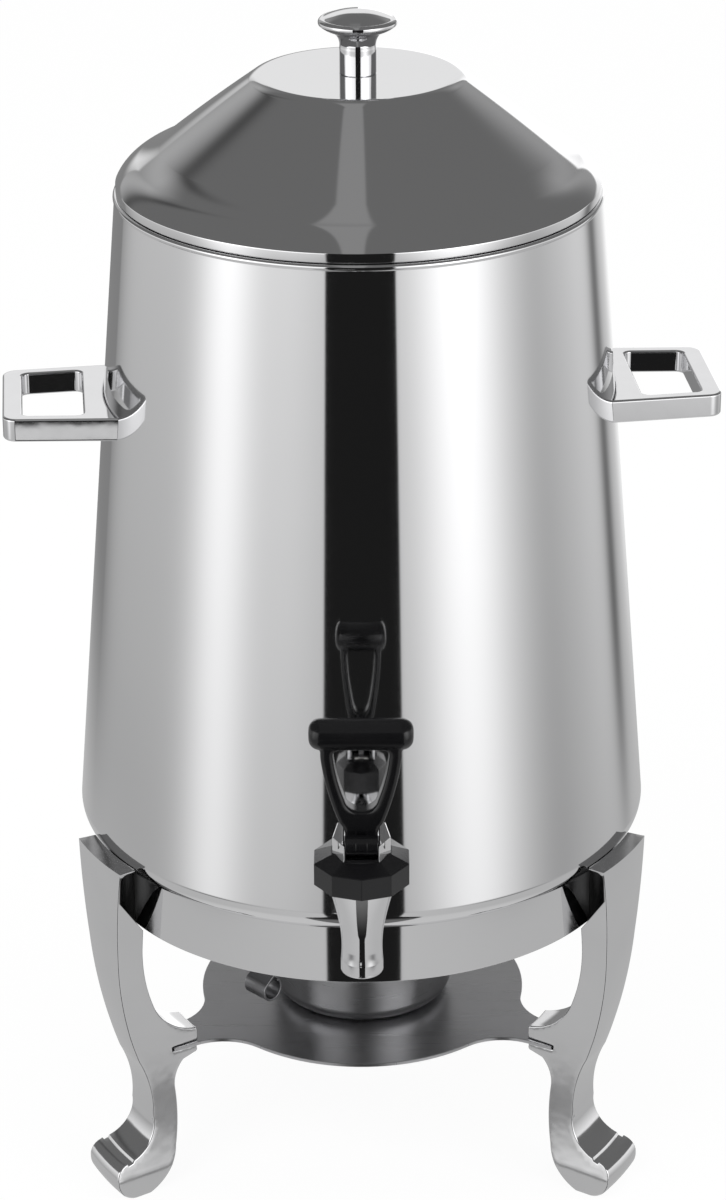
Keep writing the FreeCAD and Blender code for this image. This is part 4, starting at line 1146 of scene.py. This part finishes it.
def studio_world(power):
    """White for the camera, the room for reflections, and an even light of the given power for the rest."""
    world = bpy.data.worlds.new("studio")
    bpy.context.scene.world = world
    world.use_nodes = True
    b = Build(world.node_tree)
    seen = b.node("ShaderNodeLightPath")
    glossy = seen.out("Is Glossy Ray")
    white = seen.out("Is Camera Ray").math("MAXIMUM", seen.out("Is Transmission Ray"))
    strength = white + (1.0 - white) * (glossy * room_level(b) + (1.0 - glossy) * power)
    shader = b.node("ShaderNodeBackground", values={"Color": grey(1.0), "Strength": strength})
    b.node("ShaderNodeOutputWorld", values={"Surface": shader})


def studio_floor(tone, keep):
    """Pale floor that reads white and keeps a soft shadow; metal sees the room through it."""
    mesh = bpy.data.meshes.new("floor")
    radius, count = 9.0, 96
    mesh.from_pydata(raised(radius * unit_circle(count), 0.0).tolist(), [], [tuple(range(count))])
    floor = placed("floor", mesh)
    material = bpy.data.materials.new("pale_floor")
    material.use_nodes = True
    b = Build(material.node_tree)
    matt = b.node("ShaderNodeBsdfDiffuse", values={"Color": grey(tone)})
    just_over_white = 1.05
    glow = b.node("ShaderNodeEmission", values={"Color": grey(1.0), "Strength": just_over_white})
    seen = b.node("ShaderNodeLightPath")
    share = seen.out("Is Camera Ray") * (1.0 - keep)
    mixed = b.node("ShaderNodeMixShader", values={0: share, 1: matt, 2: glow})
    b.node("ShaderNodeOutputMaterial", values={"Surface": mixed})
    mesh.materials.append(material)
    floor.visible_glossy = False


def lamp(name, place, aim, size, watts):
    """Square soft box aimed at a point, not seen in reflections."""
    data = bpy.data.lights.new(name, "AREA")
    data.shape, data.size, data.energy = "SQUARE", size, watts
    obj = placed(name, data)
    obj.location = place
    obj.rotation_euler = (Vector(aim) - Vector(place)).to_track_quat("-Z", "Y").to_euler()
    obj.visible_glossy = False


def photo_camera():
    """Camera of the photograph: 23.85 degrees down, from 1.69 m in front of the urn's axis."""
    sensor, focal_px, image_height_px = 36.0, 3604.0, 1200.0
    data = bpy.data.cameras.new("camera")
    data.sensor_fit = "AUTO"
    data.sensor_width = sensor
    data.lens = sensor * focal_px / image_height_px
    data.clip_start, data.clip_end = 0.05, 40.0
    obj = placed("camera", data)
    aside, distance, rise, down, lean = 0.00123, 1.6947, 0.8640, 23.85, -0.27
    obj.location = (aside, URN_Y - distance, SEAT_Z + rise)
    pitch = Matrix.Rotation(math.radians(90.0 - down), 3, "X")
    roll = Matrix.Rotation(math.radians(lean), 3, "Z")
    obj.rotation_euler = (pitch @ roll).to_euler()
    bpy.context.scene.camera = obj


# Settings

class CoffeeUrnSettings(bpy.types.PropertyGroup):
    """Sizes and tones that a user would change."""

    wall_segments: bpy.props.IntProperty(
        name="Wall segments", description="Steps round the body and lid", default=224, min=48, max=512)
    metal_wall: bpy.props.FloatProperty(
        name="Metal wall", description="Thickness of the body's sheet", default=0.0012, min=0.0005, max=0.003,
        subtype="DISTANCE", unit="LENGTH")
    lever_voxel: bpy.props.FloatProperty(
        name="Lever grain", description="Voxel that joins the lever's surfaces", default=0.00045, min=0.0003,
        max=0.002, subtype="DISTANCE", unit="LENGTH")
    floor_tone: bpy.props.FloatProperty(
        name="Floor tone", description="Lightness of the floor", default=0.8, min=0.2, max=0.9,
        subtype="FACTOR")
    shadow_keep: bpy.props.FloatProperty(
        name="Shadow kept", description="Share of the floor's own shading that the camera sees", default=0.12,
        min=0.0, max=1.0, subtype="FACTOR")
    room_light: bpy.props.FloatProperty(
        name="Room light", description="Strength of the room's plain light", default=0.7, min=0.0, max=2.0)
    key_power: bpy.props.FloatProperty(
        name="Key lamp", description="Power of the soft box over the left shoulder", default=14.0, min=0.0,
        max=200.0, subtype="POWER", unit="POWER")


def settings():
    return bpy.context.scene.coffee_urn


# Operators, one for each group of pieces

class UrnStand(bpy.types.Operator):
    """Ring, cast legs and burner tray."""
    bl_idname = "coffee_urn.stand"
    bl_label = "Stand"

    def execute(self, context):
        ring = Shape()
        out, back = RING_RADIUS, RING_RADIUS - 3.0
        corners = [(out, RING_LOW), (out, 0.0), (back, 0.0), (back, RING_LOW)]
        band = rounded(corners, (0.5, 0.3, 0.3, 0.5), 3)
        ring.turned(np.concatenate([band, band[:1]]), settings().wall_segments)
        piece("ring", ring, "stand", ["stand_ring"], "polished_steel", polished_steel)
        casting = leg_mesh()
        for node, angle in LEG_ANGLES.items():
            mesh = casting.copy()
            co = np.empty(len(mesh.vertices) * 3, np.float32)
            mesh.vertices.foreach_get("co", co)
            co = co.reshape(-1, 3)
            shift = np.array([0.0, URN_Y, 0.0])
            co = (co - shift) @ turned_about(angle) + shift
            mesh.vertices.foreach_set("co", co.astype(np.float32).ravel())
            piece(node + "_casting", mesh, "stand", [node], "cast_metal", cast_chrome, sharp=30.0)
        tray = Shape()
        levels = (TRAY_TOP - 2.0, TRAY_TOP - 1.75, TRAY_TOP - 0.25, TRAY_TOP)
        tray.slab(tray_plan(), levels, (0.25, 0.0, 0.0, 0.25))
        piece("tray", tray, "stand", ["fuel_tray"], "satin_steel", tray_steel)
        dress("leg_screws", fastener_steel)
        return {"FINISHED"}


class UrnBurner(bpy.types.Operator):
    """Fuel cup with its ear and rivet, swinging cover and curled handle."""
    bl_idname = "coffee_urn.burner"
    bl_label = "Burner"

    def execute(self, context):
        cup = Shape()
        cup.turned(cup_profile(), 144)
        cup.rod(coin_profile(EAR_RADIUS, -SHEET), (*PIVOT, CUP_TOP), 40)
        piece("fuel_cup_shell", cup, "fuel_holder", ["fuel_cup"], "satin_steel", satin_steel)
        cover = Shape()
        cover.rod(coin_profile(COVER_RADIUS, 0.0), (0.0, 0.0, COVER_LOW), 144)
        cover.rod(coin_profile(EAR_RADIUS, 0.0), (*PIVOT, COVER_LOW), 40)
        piece("cup_cover", cover, "cover", ["fuel_cup_cover"], "satin_steel", tray_steel)
        strip = Shape()
        strip.add(*extruded(cover_handle_outline(), 7.5, 0.25, angle=225.0))
        piece("curled_handle", strip, "cover", ["cover_handle"], "satin_steel", satin_steel)
        dress("cover_rivet", fastener_steel)
        return {"FINISHED"}


class UrnBody(bpy.types.Operator):
    """Tapered body with its floor pan."""
    bl_idname = "coffee_urn.body"
    bl_label = "Body"

    def execute(self, context):
        body = Shape()
        profile = urn_wall(settings().metal_wall / MM)
        body.turned(np.concatenate([profile, profile[:1]]), settings().wall_segments)
        piece("urn_wall", body, "urn", ["body_shell"], "polished_steel", polished_steel)
        pan = Shape()
        r = SKIRT_RADIUS - SHEET - CLEAR
        high, low, knee, thick = -3.5, SKIRT_LOW, 4.0, 1.5
        pan.turned(outline((0.0, high), [
            (r - knee, high), ((r - 1.17, high - 1.17), (r, high - knee)), (r, low), (r - thick, low),
            (r - thick, high - knee), ((r - 2.23, high - 2.23), (r - knee, high - thick)),
            (0.0, high - thick)]), 160)
        piece("floor_pan", pan, "urn", ["body_base"], "satin_steel", satin_steel)
        return {"FINISHED"}


class UrnHandles(bpy.types.Operator):
    """Two bright loop handles and what holds them."""
    bl_idname = "coffee_urn.handles"
    bl_label = "Handles"

    def execute(self, context):
        for node, angle in (("left_handle", 185.0), ("right_handle", 5.0)):
            piece(node + "_loop", handle_shape(angle), "urn", [node], "cast_metal", tap_chrome)
        dress("handle_washers", fastener_steel)
        dress("handle_screws", fastener_steel)
        return {"FINISHED"}


class UrnLid(bpy.types.Operator):
    """Domed lid and its knob."""
    bl_idname = "coffee_urn.lid"
    bl_label = "Lid"

    def execute(self, context):
        lid = Shape()
        lid.turned(lid_profile(), settings().wall_segments)
        piece("lid_skin", lid, "lid", ["lid_shell"], "polished_steel", polished_steel)
        knob = Shape()
        knob.turned(knob_profile(), 96)
        piece("knob", knob, "lid", ["lid_knob"], "cast_metal", tap_chrome)
        dress("knob_washer", fastener_steel)
        dress("knob_screw", fastener_steel)
        return {"FINISHED"}


class UrnTap(bpy.types.Operator):
    """Tap casting, bonnet, yoke, lever and spring."""
    bl_idname = "coffee_urn.tap"
    bl_label = "Tap"

    def execute(self, context):
        tap = Shape()
        profile = spout_profile()
        tap.turned(np.concatenate([profile, profile[:1]]), 96, (0.0, -TAP_REACH))
        seal, nut = 12.9, 12.0
        flange = TAP_REACH - wall_radius(SHANK_HEIGHT - seal) - 2.1
        inside = wall_radius(SHANK_HEIGHT + seal) - SHEET
        end = TAP_REACH - math.sqrt(inside ** 2 - seal ** 2) + CLEAR + nut
        shank = [(5.0, 10.6), (9.5, 10.6), (9.5, flange - 3.6), (9.8, flange - 3.0), (12.0, flange - 3.0),
                 (12.4, flange - 2.6), (12.4, flange), (8.0, flange), (8.0, end), (5.0, end), (5.0, 10.6)]
        tap.rod(shank, (0.0, -TAP_REACH, SHANK_HEIGHT), 72, (0.0, 1.0, 0.0))
        piece("tap_casting", tap, "urn", ["tap_body"], "tap_chrome", tap_chrome)
        piece("bonnet_cap", bonnet_shape(), "urn", ["tap_bonnet"], "black_plastic", black_plastic, sharp=25.0)
        piece("yoke_clevis", yoke_shape(), "urn", ["lever_yoke"], "tap_chrome", tap_chrome, sharp=30.0)
        self.lever()
        self.spring()
        for node in ("tap_outer_seal", "tap_inner_seal", "seat_cup"):
            dress(node, soft_seal)
        for node in ("tap_nut", "lever_pin", "stem_pin", "valve_stem"):
            dress(node, fastener_steel)
        return {"FINISHED"}

    def lever(self):
        """The lever's surfaces joined by a fine remesh and eased like a moulding."""
        rough = blank("lever_blank", lever_shape())
        join = rough.modifiers.new("join", "REMESH")
        join.mode, join.voxel_size = "VOXEL", settings().lever_voxel * 1.0
        ease = rough.modifiers.new("ease", "SMOOTH")
        ease.factor, ease.iterations = 0.5, 10
        finished = ("black_plastic", black_plastic)
        piece("lever_moulding", baked(rough), "lever", ["tap_lever"], *finished, sharp=60.0)
        piece("lever_heel", heel_shape(), "lever", None, *finished)

    def spring(self):
        """Coil between the seat cup and the bonnet, at the imported spring's length; how far it would shorten
        as the valve lifts is worked out but not used.
        """
        low, high = node_box("tap_spring")
        coil = spring_shape((low[2] - SEAT_Z) / MM, (high[2] - SEAT_Z) / MM)
        obj = piece("valve_spring", coil, "urn", ["tap_spring"], "fastener_steel", fastener_steel)
        lift = next(joint for joint in frame["joints"] if joint["name"] == "valve_lift")
        travel = lift["range_m"][1] - lift["range_m"][0]
        keep = float(1.0 - travel / (high[2] - low[2]))
        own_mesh(obj)


class UrnStage(bpy.types.Operator):
    """Floor, room light and the photograph's camera."""
    bl_idname = "coffee_urn.stage"
    bl_label = "Stage"

    def execute(self, context):
        chosen = settings()
        studio_world(chosen.room_light)
        studio_floor(chosen.floor_tone, chosen.shadow_keep)
        aim = (0.0, 0.0, 0.3)
        lamp("key", (-1.1, -1.5, 2.0), aim, 1.0, chosen.key_power)
        lamp("fill", (1.5, -1.0, 1.3), aim, 1.2, chosen.key_power * 0.5)
        photo_camera()
        context.scene.view_settings.view_transform = "Standard"
        return {"FINISHED"}


class UrnPanel(bpy.types.Panel):
    """Sidebar panel that lists the urn's operators."""
    bl_idname = "VIEW3D_PT_coffee_urn"
    bl_label = "Coffee Urn"
    bl_space_type = "VIEW_3D"
    bl_region_type = "UI"
    bl_category = "Coffee Urn"

    def draw(self, context):
        chosen = context.scene.coffee_urn
        for name in CoffeeUrnSettings.__annotations__:
            self.layout.prop(chosen, name)
        for operator in OPERATORS:
            self.layout.operator(operator.bl_idname)


OPERATORS = (UrnStand, UrnBurner, UrnBody, UrnHandles, UrnLid, UrnTap, UrnStage)
CLASSES = (CoffeeUrnSettings, *OPERATORS, UrnPanel)


def register():
    for cls in CLASSES:
        bpy.utils.register_class(cls)
    bpy.types.Scene.coffee_urn = bpy.props.PointerProperty(type=CoffeeUrnSettings)


def unregister():
    del bpy.types.Scene.coffee_urn
    for cls in reversed(CLASSES):
        bpy.utils.unregister_class(cls)


def main():
    """Registers the add-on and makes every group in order."""
    register()
    for operator in OPERATORS:
        getattr(bpy.ops.coffee_urn, operator.bl_idname.split(".")[1])()


if __name__ == "__main__":
    main()
